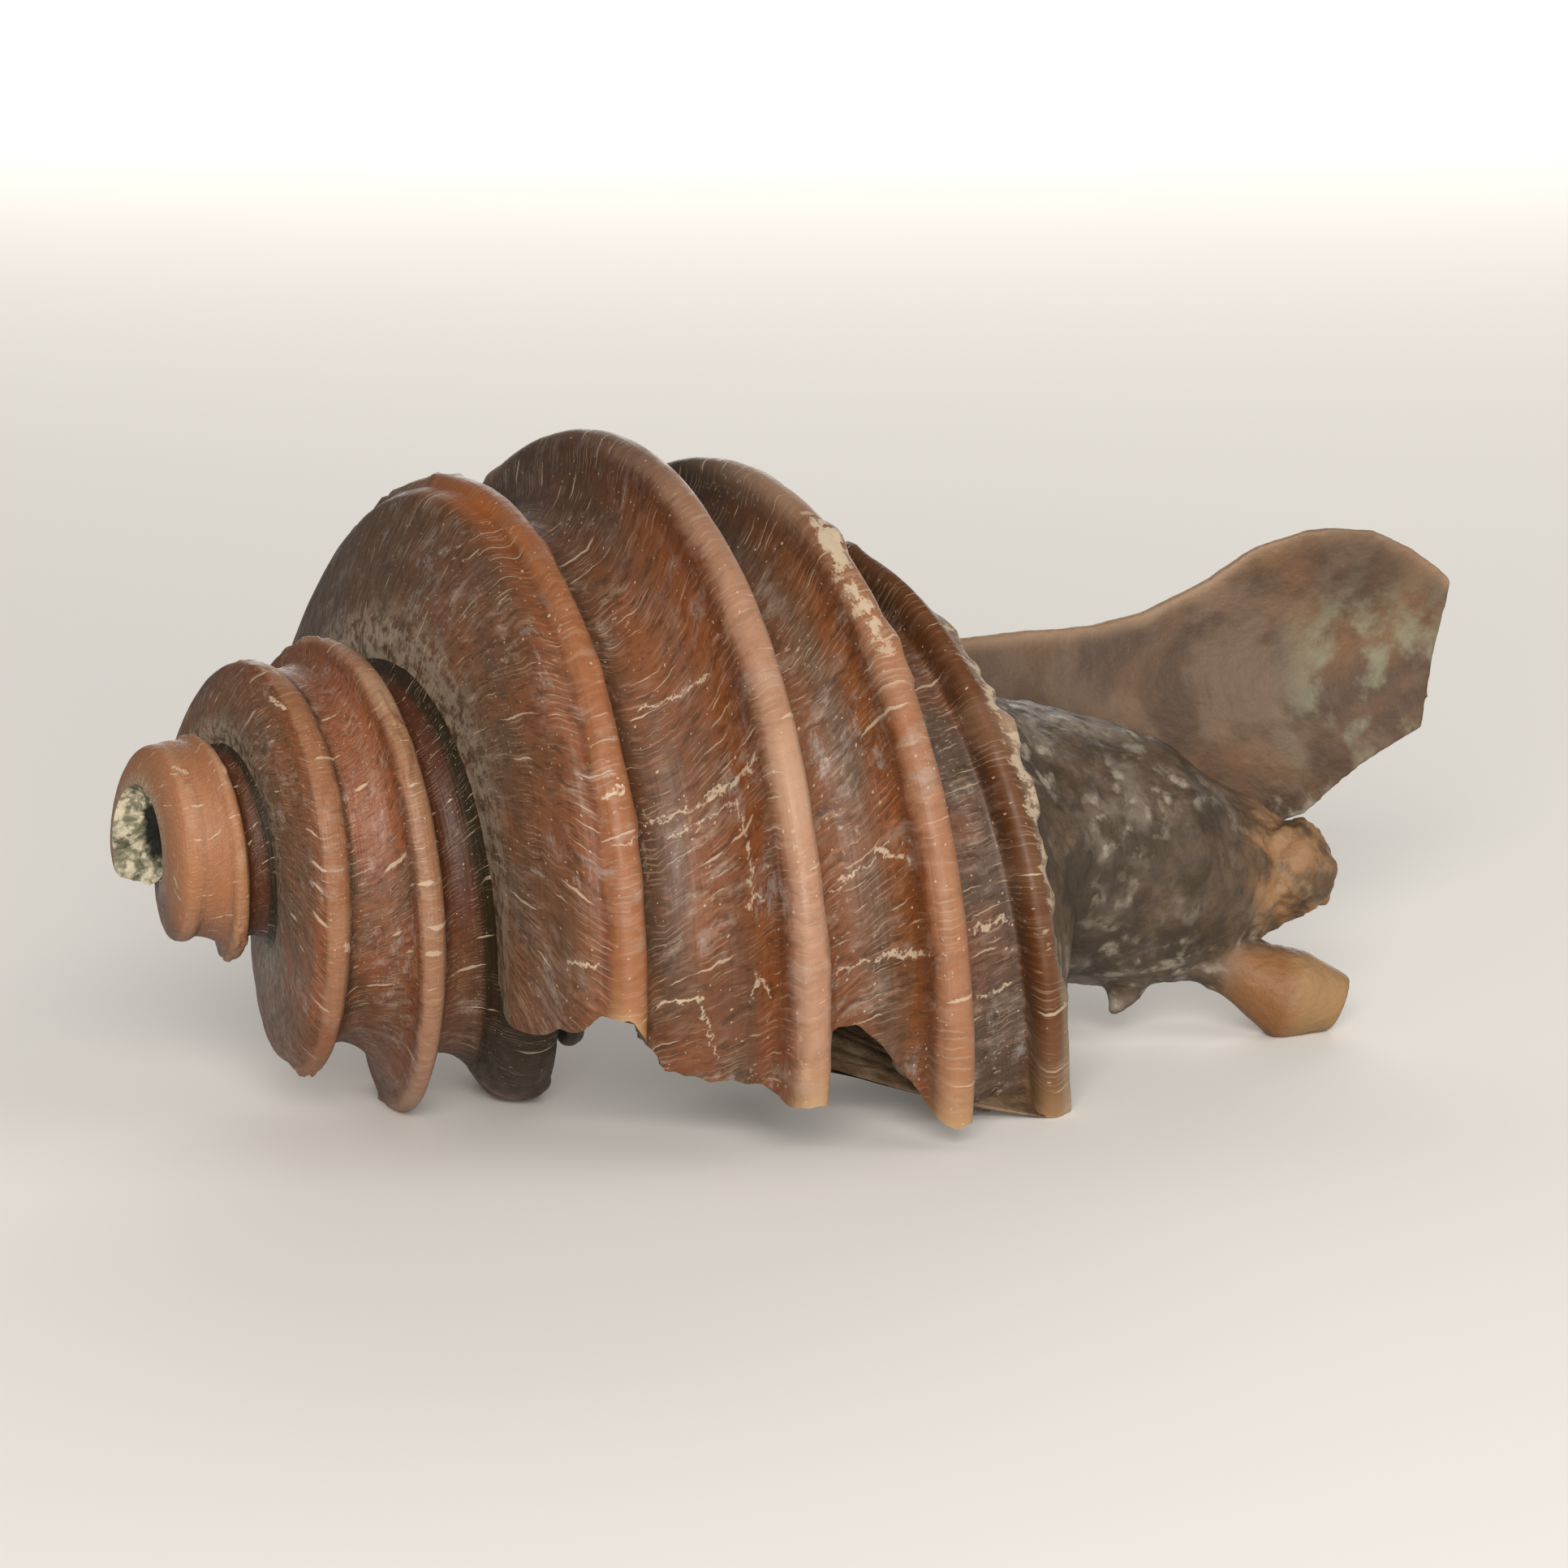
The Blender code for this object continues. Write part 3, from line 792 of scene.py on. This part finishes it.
def new_finish(name, colour_of, gloss_of, bump_of, bump_height):
    """A material from functions that give its colour, roughness and bump. The height is in metres."""
    material = bpy.data.materials.new(name)
    material.use_nodes = True
    tree = material.node_tree
    shader = tree.nodes["Principled BSDF"]
    start = Wire(tree)
    tree.links.new(colour_of(start).socket, shader.inputs["Base Color"])
    tree.links.new(gloss_of(start).socket, shader.inputs["Roughness"])
    bump = start.node("ShaderNodeBump", sockets={"Height": bump_of(start), "Distance": bump_height})
    tree.links.new(bump.socket, shader.inputs["Normal"])
    shader.inputs["Specular IOR Level"].default_value = 0.3
    return material


# %% [markdown]
# ## The waxy wall
# Fossil shell of this kind looks like wax or horn: red-brown where it is thin, grey and purple where
# it is clouded, paler on the worn crests. Thin cream lines cross it, one for every pause in growth,
# and fine streaks run along them. Noise stretched along one of the two directions of the coil draws
# each of these, so that the lines follow the surface all round and nothing has to be painted.

# %% Colours across one turn, by distance along the axis at turn 0, and of what lies over them
BAND_START, BAND_LENGTH = 15, 25
CREST_ONE, CREST_TWO, CREST_THREE = (0.200, 0.073, 0.028), (0.262, 0.136, 0.082), (0.222, 0.098, 0.048)
# Some stops are painted light: the dark stop just past each of the first three crests is painted shade under
# the rib's steep side, the orange stops just before the crests are a painted glow of light through the thin
# flank, and the dark stops before rib four are painted shade in its groove.
BANDS_AND_SHADE = [
    (15.4, (0.088, 0.054, 0.031)), (15.9, (0.102, 0.046, 0.022)), (16.6, (0.112, 0.043, 0.017)),
    (17.3, (0.122, 0.038, 0.012)), (17.56, (0.102, 0.028, 0.008)), (17.74, CREST_ONE), (18.98, CREST_ONE),
    (19.2, (0.041, 0.017, 0.006)), (20.4, (0.075, 0.029, 0.011)), (21.8, (0.122, 0.042, 0.015)),
    (22.9, (0.109, 0.047, 0.024)), (23.6, (0.156, 0.045, 0.011)), (23.92, (0.116, 0.031, 0.008)),
    (24.1, CREST_TWO), (25.4, CREST_TWO), (25.62, (0.051, 0.020, 0.008)), (26.7, (0.143, 0.046, 0.014)),
    (27.8, (0.122, 0.045, 0.017)), (28.8, (0.088, 0.046, 0.026)), (29.6, (0.150, 0.047, 0.012)),
    (29.93, (0.109, 0.032, 0.008)), (30.1, CREST_THREE), (31.4, CREST_THREE), (31.6, (0.058, 0.034, 0.021)),
    (32.6, (0.074, 0.050, 0.038)), (34.7, (0.072, 0.046, 0.033)), (35.1, (0.052, 0.022, 0.009)),
    (35.35, (0.058, 0.018, 0.004)), (35.95, (0.094, 0.030, 0.005)), (36.15, (0.150, 0.108, 0.068)),
    (37.0, (0.190, 0.150, 0.100)), (37.4, (0.068, 0.046, 0.033)),
]
GREY, YOUNG, CREAM = (0.071, 0.047, 0.030), (0.272, 0.117, 0.052), (0.400, 0.315, 0.225)
SILK, RUST = (0.270, 0.150, 0.092), (0.200, 0.062, 0.021)
PALE_CREST, SNAPPED = (0.330, 0.212, 0.138), (0.330, 0.210, 0.100)
OLD_CREST, PAINTED_GLOW = (0.180, 0.079, 0.035), (0.258, 0.070, 0.009)
MILK, DIRT, DARK = (0.270, 0.200, 0.160), (0.250, 0.192, 0.138), (0.031, 0.013, 0.004)
REDDER, BURNT_AND_SHADE, OLIVE = (0.160, 0.052, 0.023), (0.042, 0.010, 0.002), (0.013, 0.008, 0.002)
TOP_SHADE, SMOKE, GROOVE_SHADE = (0.020, 0.010, 0.004), (0.270, 0.235, 0.215), (0.075, 0.024, 0.005)

# %% Noise and lines laid out on the shell
def grain(w, growth, per_turn, per_mm, seed=0.0, detail=3, roughness=0.5):
    """Noise with so many lumps in a turn of this growth number, and so many in a mm across."""
    place = w.vector(growth * per_turn, w.mark("across") * per_mm, seed)
    return w.clouds(place, 1.0, detail, roughness)


def crooked_growth(w):
    """The growth number, bent a little, so that lines of one age are not quite straight."""
    growth = w.mark("growth")
    return growth + (grain(w, growth, 26, 0.45, 0.0, 4, 0.55) - 0.5) * 0.010


def patches(w, per_turn, per_mm, low, high, seed):
    """A soft mask."""
    return w.ramp(grain(w, w.mark("growth"), per_turn, per_mm, seed, 2, 0.6), low, high)


def strokes(w, age, per_turn, width, where):
    """Lines of one age at uneven distances, as wide as the mask there allows."""
    settings = {"voronoi_dimensions": "1D", "feature": "DISTANCE_TO_EDGE"}
    distance = w.node("ShaderNodeTexVoronoi", settings, {"W": age * per_turn, "Scale": 1.0})
    return w.ramp(where * width - distance, 0.0, width * 0.35)


# %% [markdown]
# A pause in growth left a cream line where the lip then was. The strongest lines are few, and two
# finer sets lie between them. A soft mask breaks each set into tapered strokes, as wear has done.

# %% Lines of growth, crumbs and painted glints
def strong_lines(w, age):
    """The strongest lines, wider in the older turns."""
    older = w.ramp(w.mark("turn"), -0.5, -0.7)
    return strokes(w, age, 40, older * 0.05 + 0.034, patches(w, 34, 0.32, 0.50, 0.68, 9.0))


def growth_lines(w, age):
    """The cream lines of paused growth, broken into tapered strokes."""
    finer = strokes(w, age + 3.3, 120, 0.055, patches(w, 40, 0.45, 0.50, 0.70, 13.0))
    hairs = strokes(w, age + 7.7, 320, 0.150, patches(w, 60, 0.70, 0.42, 0.70, 17.0))
    return w.most(strong_lines(w, age) * 0.85, finer * 0.65, hairs * 0.24)


def flecks_and_glints(w, age):
    """Chalky crumbs in clusters, and tiny specks of painted highlight."""
    crumbs = w.ramp(grain(w, age, 300, 1.9, 4.0, 4, 0.7), 0.59, 0.66)
    # Painted highlight: tiny cream specks stand for sparkles of light.
    painted_glints = w.ramp(grain(w, age, 560, 4.8, 8.0, 0), 0.79, 0.82)
    return w.most(crumbs * patches(w, 18, 0.30, 0.52, 0.64, 6.0) * 0.7, painted_glints)


# %% [markdown]
# ## Healed cracks
# The shell cracked, and white mineral filled the gaps. Modelled as grooves they would need far more
# faces, and they are level with the wall. So each is drawn as a chain of straight pieces, by the
# distance to the nearest one, which noise then bends and breaks up.

# %% Cracks, piece by piece: two places, each (turn, across), and the width in mm
CRACKS = [
    ((0.2318, 16.2), (0.2401, 16.3), 0.09), ((0.2401, 16.3), (0.2545, 16.5), 0.12),
    ((0.2545, 16.5), (0.2646, 16.2), 0.08), ((0.2183, 17.9), (0.2318, 14.8), 0.20),
    ((0.2318, 14.8), (0.2432, 12.2), 0.07), ((0.2322, 16.2), (0.2471, 13.2), 0.05),
    ((0.2650, 16.5), (0.2720, 16.1), 0.09), ((0.2650, 16.5), (0.2698, 16.9), 0.09),
    ((0.2956, 16.4), (0.3065, 16.0), 0.10), ((0.2956, 16.4), (0.3017, 16.9), 0.10),
    ((0.2995, 24.5), (0.2895, 26.6), 0.09), ((0.2895, 26.6), (0.2835, 28.5), 0.16),
    ((0.2973, 6.6), (0.2960, 8.0), 0.10), ((0.3161, 12.2), (0.3122, 14.0), 0.14),
    ((0.2340, 8.9), (0.2292, 9.6), 0.18), ((0.2506, 8.9), (0.2453, 11.9), 0.05),
    ((0.2833, 35.4), (0.2794, 36.7), 0.26), ((0.3135, 35.2), (0.3091, 36.9), 0.10),
    ((0.1903, 13.2), (0.1820, 16.5), 0.08), ((0.2528, 28.0), (0.2501, 26.8), 0.18),
    ((0.2501, 26.8), (0.2667, 24.5), 0.06), ((0.3122, 14.0), (0.3358, 14.5), 0.04),
    ((-0.885, 7.4), (-0.868, 8.2), 0.5), ((-1.865, 9.0), (-1.85, 11.0), 0.9),
    ((-1.645, 5.0), (-1.635, 6.0), 0.6), ((-0.662, 10.0), (-0.655, 10.8), 0.5),
]
TURN_LENGTH = 96.0  # mm round the coil, about, in the middle of the last turn


def distance_to_line(w, place, start, end):
    """How far a place is from the straight line between two points."""
    line = end - start
    away = w.node("ShaderNodeVectorMath", {"operation": "SUBTRACT"}, {0: place, 1: start})
    dot = w.node("ShaderNodeVectorMath", {"operation": "DOT_PRODUCT"}, {0: away, 1: line}, output="Value")
    settings = {"operation": "MULTIPLY", "use_clamp": True}
    share = w.node("ShaderNodeMath", settings, {0: dot, 1: 1 / line.length_squared})
    along = w.node("ShaderNodeVectorMath", {"operation": "SCALE"}, {0: line, "Scale": share})
    return w.node("ShaderNodeVectorMath", {"operation": "DISTANCE"}, {0: away, 1: along}, output="Value")


def cracks(w):
    """A mask of the cracks."""
    growth, turn, across = w.mark("growth"), w.mark("turn"), w.mark("across")
    sideways, lengthways = ((grain(w, growth, 150, 1.4, seed, 3, 0.7) - 0.5) * 1.1 for seed in (21.0, 27.0))
    place = w.vector(turn * TURN_LENGTH + sideways, across + lengthways)
    gaps = []
    for start, end, width in CRACKS:
        a, b = (Vector((at * TURN_LENGTH, step, 0)) for at, step in (start, end))
        gaps.append(width * 0.5 - distance_to_line(w, place, a, b))
    broken = w.ramp(grain(w, growth, 260, 2.6, 33.0, 2, 0.7), 0.36, 0.52)
    return w.ramp(w.most(*gaps), -0.045, 0.03) * broken


print("pieces of crack:", len(CRACKS))

# %% [markdown]
# ## The froth of the neck
# Where the neck broke, its stone is a crumbly froth, brown-grey with whitish crumbs. It has no
# direction, so its noise goes by the place in the stone. The lower edge of the wall turns into it.

# %% Froth
def by_place(w, per_mm, detail=3.0, distortion=0.0):
    """Noise fixed to the stone itself, so many lumps to the mm."""
    places = w.node("ShaderNodeTexCoord", output="Object")
    return w.clouds(places, per_mm * 1000, detail, 0.55, distortion)


def froth_colour(w):
    clouds = w.ramp(by_place(w, 0.25, 4), 0.42, 0.60)
    colour = w.blend(clouds, (0.036, 0.024, 0.014), (0.074, 0.048, 0.029))
    colour = w.blend(w.ramp(by_place(w, 1.6, 4), 0.48, 0.64) * 0.5, colour, (0.031, 0.020, 0.015))
    region = w.ramp(by_place(w, 0.15, 3), 0.42, 0.56)
    colour = w.blend(w.ramp(by_place(w, 0.45, 4), 0.46, 0.64) * region * 0.45, colour, (0.190, 0.155, 0.125))
    crumbs = w.ramp(by_place(w, 0.95, 4), 0.50, 0.68) * region
    return w.blend(crumbs * 0.7, colour, (0.270, 0.236, 0.186))


# %% [markdown]
# ## The wall's colour, layer by layer
# A real shell gets its colour in layers too: the bands of its own shell, clouds where minerals came
# in, streaks along the growth, then wear on the crests and stains in the hollows. Some layers here also
# paint light into the colour: shade beside the ribs, in the groove and on the top, and an orange glow
# where light shines through a thin flank. Each layer is one function that blends its colours over what
# it is given.

# %% The bands across one turn, with painted shade and glow
def bands_and_painted_shade(w, older):
    """The colour of each place across one turn, with painted shade and painted light in it, redder in the
    older turns.
    """
    station = w.mark("station")
    wander = grain(w, w.mark("growth"), 45, 0.5, 20.0, 3, 0.6)
    place = (station + (wander - 0.5) * 0.55 - BAND_START) * (1 / BAND_LENGTH)
    stops = [((along - BAND_START) / BAND_LENGTH, colour) for along, colour in BANDS_AND_SHADE]
    colour = w.node("ShaderNodeValToRGB", {"stops": stops}, {"Fac": place})
    colour = w.blend(older * w.mark("crest") * 0.75, colour, OLD_CREST)
    between = w.ramp(station, 19.4, 20.4) * w.ramp(station, 24.0, 23.4)
    return w.blend(older * between, colour, REDDER)


# %% Clouds and streaks
def clouds_and_top_shade(w, colour, age, older, hollows):
    """Grey and rusty clouds, a greyer top that is partly its tone and partly painted shade, milky haze and
    whitish smoke.
    """
    clouds = grain(w, w.mark("growth"), 12, 0.35)
    colour = w.blend(w.ramp(clouds, 0.50, 0.68) * hollows * 0.55, colour, GREY)
    colour = w.blend(patches(w, 16, 0.22, 0.48, 0.62, 37.0) * hollows * 0.36, colour, RUST)
    # The top is greyed: partly a greyer tone, partly painted shade where less light falls on it.
    top = w.maths("ABSOLUTE", w.mark("turn") + 0.12)
    colour = w.blend(w.ramp(top, 0.22, 0.06) * 0.75, colour, GREY)
    haze = w.ramp(grain(w, age, 110, 0.45, 11.0, 4, 0.72), 0.48, 0.70)
    haze = haze * patches(w, 14, 0.3, 0.40, 0.60, 31.0)
    colour = w.blend(haze * (0.66 - older * 0.22), colour, MILK)
    smoke = w.ramp(grain(w, age, 55, 0.9, 51.0, 5, 0.8), 0.50, 0.66)
    smoke = smoke * patches(w, 22, 0.16, 0.50, 0.62, 53.0) * hollows
    return w.blend(smoke * 0.6, colour, SMOKE)


def streaked(w, colour, age, hollows):
    """Dark and silky streaks along the lines of growth, and dark cords round the coil."""
    shreds = w.ramp(grain(w, age, 240, 0.9, 12.0, 4, 0.75), 0.46, 0.66)
    colour = w.blend(shreds * (hollows * 0.40 + 0.20), colour, DARK)
    silk = w.ramp(grain(w, age, 330, 0.5, 14.0, 4, 0.7), 0.52, 0.72)
    colour = w.blend(silk * 0.42, colour, SILK)
    cords = w.ramp(grain(w, w.mark("growth"), 20, 9.0), 0.5, 1.4)
    return w.blend(cords * 0.35, colour, DARK)


# %% Wear, stains, and painted shade and glow
def wear_and_top_shade(w, colour, age):
    """The painted shade on the top's hollows, the pale first turn, and rusty bars and pale patches on the
    crests.
    """
    turn, station, crest = w.mark("turn"), w.mark("station"), w.mark("crest")
    # Painted shade: the hollows of the top are darkened where little light falls.
    top_shade_mask = w.ramp(turn, 0.17, 0.03) * w.ramp(turn, -0.26, -0.14) * (w.ramp(station, 19.0, 28.0) * 0.6 + 0.28)
    colour = w.blend(top_shade_mask, colour, TOP_SHADE)
    colour = w.blend(w.ramp(turn, -1.48, -1.62) * 0.72, colour, YOUNG)
    bars = grain(w, age, 210, 0.25, 45.0, 3, 0.7)
    colour = w.blend(w.ramp(bars, 0.42, 0.30) * crest * 0.45, colour, RUST)
    later = w.ramp(station, 19.5, 23.0) * 0.6 + 0.4
    colour = w.blend(w.ramp(bars, 0.54, 0.70) * crest * later * 0.5, colour, PALE_CREST)
    pale = patches(w, 9, 0.05, 0.50, 0.62, 41.0) * crest
    return w.blend(pale * later * 0.45, colour, PALE_CREST)


def stains_shade_and_glow(w, colour, older):
    """Painted shade below rib two of the older turns, darker olive before rib three, painted shade in the
    groove, the snapped tips, dirt in the seam, and a painted warm light.
    """
    turn, station = w.mark("turn"), w.mark("station")
    # Painted shade: the older turns are darkened just below rib two, over their dark orange.
    colour = w.blend(older * w.ramp(station, 25.4, 25.9) * 0.93, colour, BURNT_AND_SHADE)
    colour = w.blend(w.ramp(turn, -0.42, -0.54) * w.ramp(station, 28.6, 29.4) * 0.93, colour, OLIVE)
    # Painted shade in the groove beside rib four.
    colour = w.blend(w.mark("groove") * w.ramp(turn, -0.05, 0.10) * 0.8, colour, GROOVE_SHADE)
    colour = w.blend(w.mark("snapped") * 0.7, colour, SNAPPED)
    sand = w.ramp(grain(w, w.mark("growth"), 90, 1.3, 15.0, 3, 0.7), 0.40, 0.58)
    colour = w.blend(w.ramp(w.mark("across"), 3.4, 1.0) * sand * 0.9, colour, DIRT)
    # A painted glow of light through rib one's flank.
    return w.blend(w.mark("glow"), colour, PAINTED_GLOW)


# %% The finish of the wall
def wall_colour(w):
    age, hollows = crooked_growth(w), 1 - w.mark("crest")
    older = w.ramp(w.mark("turn"), -0.55, -0.75)
    colour = clouds_and_top_shade(w, bands_and_painted_shade(w, older), age, older, hollows)
    colour = stains_shade_and_glow(w, wear_and_top_shade(w, streaked(w, colour, age, hollows), age), older)
    grit = grain(w, w.mark("growth"), 150, 1.6, 18.0, 4, 0.75)
    chalk = w.ramp(w.mark("chalk") * 0.30 + grit, 0.75, 0.84) * w.mark("chalk") * 0.9
    cream = w.most(growth_lines(w, age) * 0.8, flecks_and_glints(w, age) * 0.75, chalk, cracks(w) * 0.85)
    return w.blend(w.mark("base"), w.blend(cream, colour, CREAM), froth_colour(w))


def wall_gloss(w):
    return w.ramp(grain(w, w.mark("growth"), 60, 2.0), 0.3, 0.7) * 0.16 + w.mark("base") * 0.2 + 0.46


def wall_bump(w):
    growth = w.mark("growth")
    shell = grain(w, growth, 230, 0.5, detail=2) * 0.45 + grain(w, growth, 12, 4.0, detail=2) * 0.35
    froth = by_place(w, 1.6, 3) * 2
    return shell * (1 - w.mark("base")) + froth * w.mark("base")


wall = new_finish("waxy_wall", wall_colour, wall_gloss, wall_bump, 0.1 * MM)
for piece in (body, spire):
    piece.data.materials.append(wall)
print("nodes in the wall's finish:", len(wall.node_tree.nodes))

# %% [markdown]
# ## Broken stone and the foot
# Where the shell snapped it is tan, and darker on the pillar, which lies in the shade; that darkness is
# painted shade. The canal's wall is smoother than the neck and clouded, with a weathered green-grey
# patch and painted shade towards the coil, and the hollow is dull and dark, with painted shade that
# deepens further in. None of these has lines of growth, so their noise goes by the place in the stone.

# %% Colours of the broken edge, the hollow and the pit
def edge_colour(w):
    colour = w.blend(w.ramp(by_place(w, 0.6), 0.4, 0.6), (0.085, 0.049, 0.025), (0.150, 0.098, 0.056))
    colour = w.blend(w.mark("from_outside") * 0.7, colour, GREY)
    return w.blend(w.mark("on_pillar") * 0.95, colour, (0.010, 0.007, 0.004))


def hollow_colour(w):
    colour = w.blend(w.ramp(by_place(w, 0.15, 4), 0.4, 0.65), (0.022, 0.014, 0.009), (0.044, 0.031, 0.020))
    # Painted shade: darker further into the hollow.
    return w.blend(w.mark("depth"), colour, DARK)


def pit_colour(w):
    colour = w.blend(w.ramp(by_place(w, 1.1, 5), 0.42, 0.58), (0.420, 0.370, 0.270), (0.120, 0.118, 0.075))
    colour = w.blend(w.ramp(by_place(w, 2.4, 4), 0.52, 0.64) * 0.7, colour, (0.040, 0.034, 0.020))
    deep = w.mark("depth") + (by_place(w, 0.9, 3) - 0.5) * 0.5
    # Painted shade: the bottom of the funnel is near black, in place of the dark of the hole.
    return w.blend(w.ramp(deep, 0.34, 0.52), colour, (0.007, 0.007, 0.005))


# %% Colours of the foot
def canal_colour(w):
    """The canal's wall: brown clouds, darker towards the coil, with a weathered patch."""
    clouds = w.ramp(by_place(w, 0.10, 4, 0.8), 0.40, 0.62)
    colour = w.blend(clouds, (0.055, 0.032, 0.019), (0.122, 0.064, 0.032))
    colour = w.blend(w.ramp(by_place(w, 0.22, 5, 0.5), 0.46, 0.62) * 0.5, colour, (0.150, 0.096, 0.062))
    colour = w.blend(w.ramp(by_place(w, 0.55, 5, 0.4), 0.48, 0.68) * 0.35, colour, (0.040, 0.026, 0.018))
    colour = w.blend(w.mark("shaded") * 0.6, colour, (0.030, 0.019, 0.011))
    green = w.mark("weathered") * w.ramp(by_place(w, 0.33, 6), 0.46, 0.60)
    return w.blend(green * 0.8, colour, (0.170, 0.165, 0.112))


def foot_colour(w):
    colour = w.blend(w.mark("crumbly"), canal_colour(w), froth_colour(w))
    colour = w.blend(w.mark("canal_rim") * 0.7, colour, (0.262, 0.170, 0.105))
    tan = w.blend(w.ramp(by_place(w, 0.5, 5), 0.42, 0.60), (0.195, 0.105, 0.048), (0.075, 0.042, 0.020))
    colour = w.blend(w.mark("tan_lump") * w.ramp(by_place(w, 0.35, 4), 0.30, 0.50), colour, tan)
    stump = w.blend(w.mark("stump_face"), (0.165, 0.072, 0.024), (0.222, 0.128, 0.056))
    return w.blend(w.mark("stump"), colour, stump)


# %% Finish the broken pieces
# Each as (piece, name, colour, least roughness, lumps of the bump to the mm, its height in mm)
STONES = [
    (lip_edge, "broken_shell", edge_colour, 0.5, 1.5, 0.2),
    (hollow, "hollow_wall", hollow_colour, 0.45, 0.8, 0.1),
    (tip_pit, "pit_stone", pit_colour, 0.6, 2.0, 0.2),
    (foot, "foot_stone", foot_colour, 0.45, 1.6, 0.15),
]


def stone_gloss(least):
    return lambda w: by_place(w, 1.0) * 0.2 + least


def stone_bump(per_mm):
    return lambda w: by_place(w, per_mm, 5)


for piece, name, colour_of, least, per_mm, height in STONES:
    finish = new_finish(name, colour_of, stone_gloss(least), stone_bump(per_mm), height * MM)
    piece.data.materials.append(finish)
print("finishes:", [piece.data.materials[0].name for piece, *_ in STONES])

# %% [markdown]
# ## Tie the pieces to the solid
# Every piece rides on the shell's one body and stands for its one solid, so the solid itself is not
# shown.

# %% Ride and replace
PIECES = (body, spire, hollow, lip_edge, tip_pit, foot)
for piece in PIECES:
    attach(piece, "root")
    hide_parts("shell")
print("pieces:", [piece.name for piece in PIECES])

# %% [markdown]
# ## The photographer's table
# A plain pale floor, wide enough that the low camera sees it fade into the pale studio behind.

# %% Floor
FLOOR_REACH = 2.0  # metres each way
floor_data = bpy.data.meshes.new("floor")
corners = [(x * FLOOR_REACH, y * FLOOR_REACH, 0) for x, y in ((-1, -1), (1, -1), (1, 1), (-1, 1))]
floor_data.from_pydata(corners, [], [(0, 1, 2, 3)])
floor = bpy.data.objects.new("floor", floor_data)
bpy.context.scene.collection.objects.link(floor)
pale = bpy.data.materials.new("pale_table")
pale.use_nodes = True
pale_shader = pale.node_tree.nodes["Principled BSDF"]
pale_shader.inputs["Base Color"].default_value = (0.80, 0.79, 0.77, 1)
pale_shader.inputs["Roughness"].default_value = 0.9
floor_data.materials.append(pale)
print("floor, in metres each way:", FLOOR_REACH)

# %% [markdown]
# ## Camera
# It looks at the near side, turned a little towards the canal, from slightly above, through a long
# lens, as the picture does. Its place was found by matching the coil's own points to the picture, so
# it is worked out in pixels of the picture, of which one is 0.038 mm, in the frame of the coil's axis.

# %% Place the camera
SIDE_TURN, CAMERA_ROLL = 0.3613967, 0.0353564  # radians
AXIS_CENTRE = (71.5311, 1010.0955)  # the pixel at which the axis starts
HALF_FRAME, DISTANCE, PIXEL = 966, 9660, 0.038  # in pixels, in pixels, in mm
LENS, SENSOR = 180, 36  # mm
right = Vector((math.cos(SIDE_TURN), -math.sin(SIDE_TURN), 0))
up = Vector((0, 0, 1))
towards = Vector((-math.sin(SIDE_TURN), -math.cos(SIDE_TURN), 0))
over, above = HALF_FRAME - AXIS_CENTRE[0], AXIS_CENTRE[1] - HALF_FRAME
right_share = over * math.cos(CAMERA_ROLL) - above * math.sin(CAMERA_ROLL)
up_share = over * math.sin(CAMERA_ROLL) + above * math.cos(CAMERA_ROLL)
eye = right_share * right + up_share * up + (DISTANCE - 800 * math.sin(SIDE_TURN)) * towards
camera_right = right * math.cos(CAMERA_ROLL) + up * math.sin(CAMERA_ROLL)
camera_up = up * math.cos(CAMERA_ROLL) - right * math.sin(CAMERA_ROLL)
axes = TURNED @ Matrix((camera_right, camera_up, towards)).transposed()
camera = bpy.data.objects.new("Camera", bpy.data.cameras.new("Camera"))
bpy.context.scene.collection.objects.link(camera)
camera.data.lens, camera.data.sensor_width = LENS, SENSOR
camera.data.clip_start, camera.data.clip_end = 0.01, 10
place = (TURNED @ (eye * PIXEL) + SET_DOWN) * MM
camera.matrix_world = Matrix.Translation(place) @ axes.to_4x4()
bpy.context.scene.camera = camera
bpy.context.scene.view_settings.view_transform = "Standard"
print("camera at", [round(value, 3) for value in camera.matrix_world.translation])

# %% [markdown]
# ## Light
# The strongest lamp is low and near the camera, as in the picture, where the near side is bright and
# the top is dim. A softer one fills the canal's side, one behind parts the shell from the floor, and
# a weak even light comes from all round. Square lamps give the soft edges of shadow of a studio.

# %% Lamps, each as (name, place, size, power) in metres and watts
LAMPS = [
    ("key", (-0.20, -0.60, 0.20), 0.30, 6.3),
    ("fill", (0.45, -0.45, 0.26), 0.5, 1.8),
    ("back", (0.30, 0.65, 0.18), 0.5, 3.4),
]
LIT_POINT = Vector((0, 0, 0.015))


def add_lamp(name, place, size, power):
    lamp = bpy.data.objects.new(name, bpy.data.lights.new(name, "AREA"))
    lamp.data.size, lamp.data.energy = size, power
    lamp.data.color = (1.0, 0.95, 0.88)
    lamp.location = place
    lamp.rotation_euler = (LIT_POINT - lamp.location).to_track_quat("-Z", "Y").to_euler()
    bpy.context.scene.collection.objects.link(lamp)


for lamp in LAMPS:
    add_lamp(*lamp)
world = bpy.data.worlds.new("studio")
bpy.context.scene.world = world
world.use_nodes = True
background = world.node_tree.nodes["Background"]
background.inputs["Color"].default_value = (1.0, 0.98, 0.95, 1)
background.inputs["Strength"].default_value = 0.26
print("lamps:", [name for name, *_ in LAMPS])
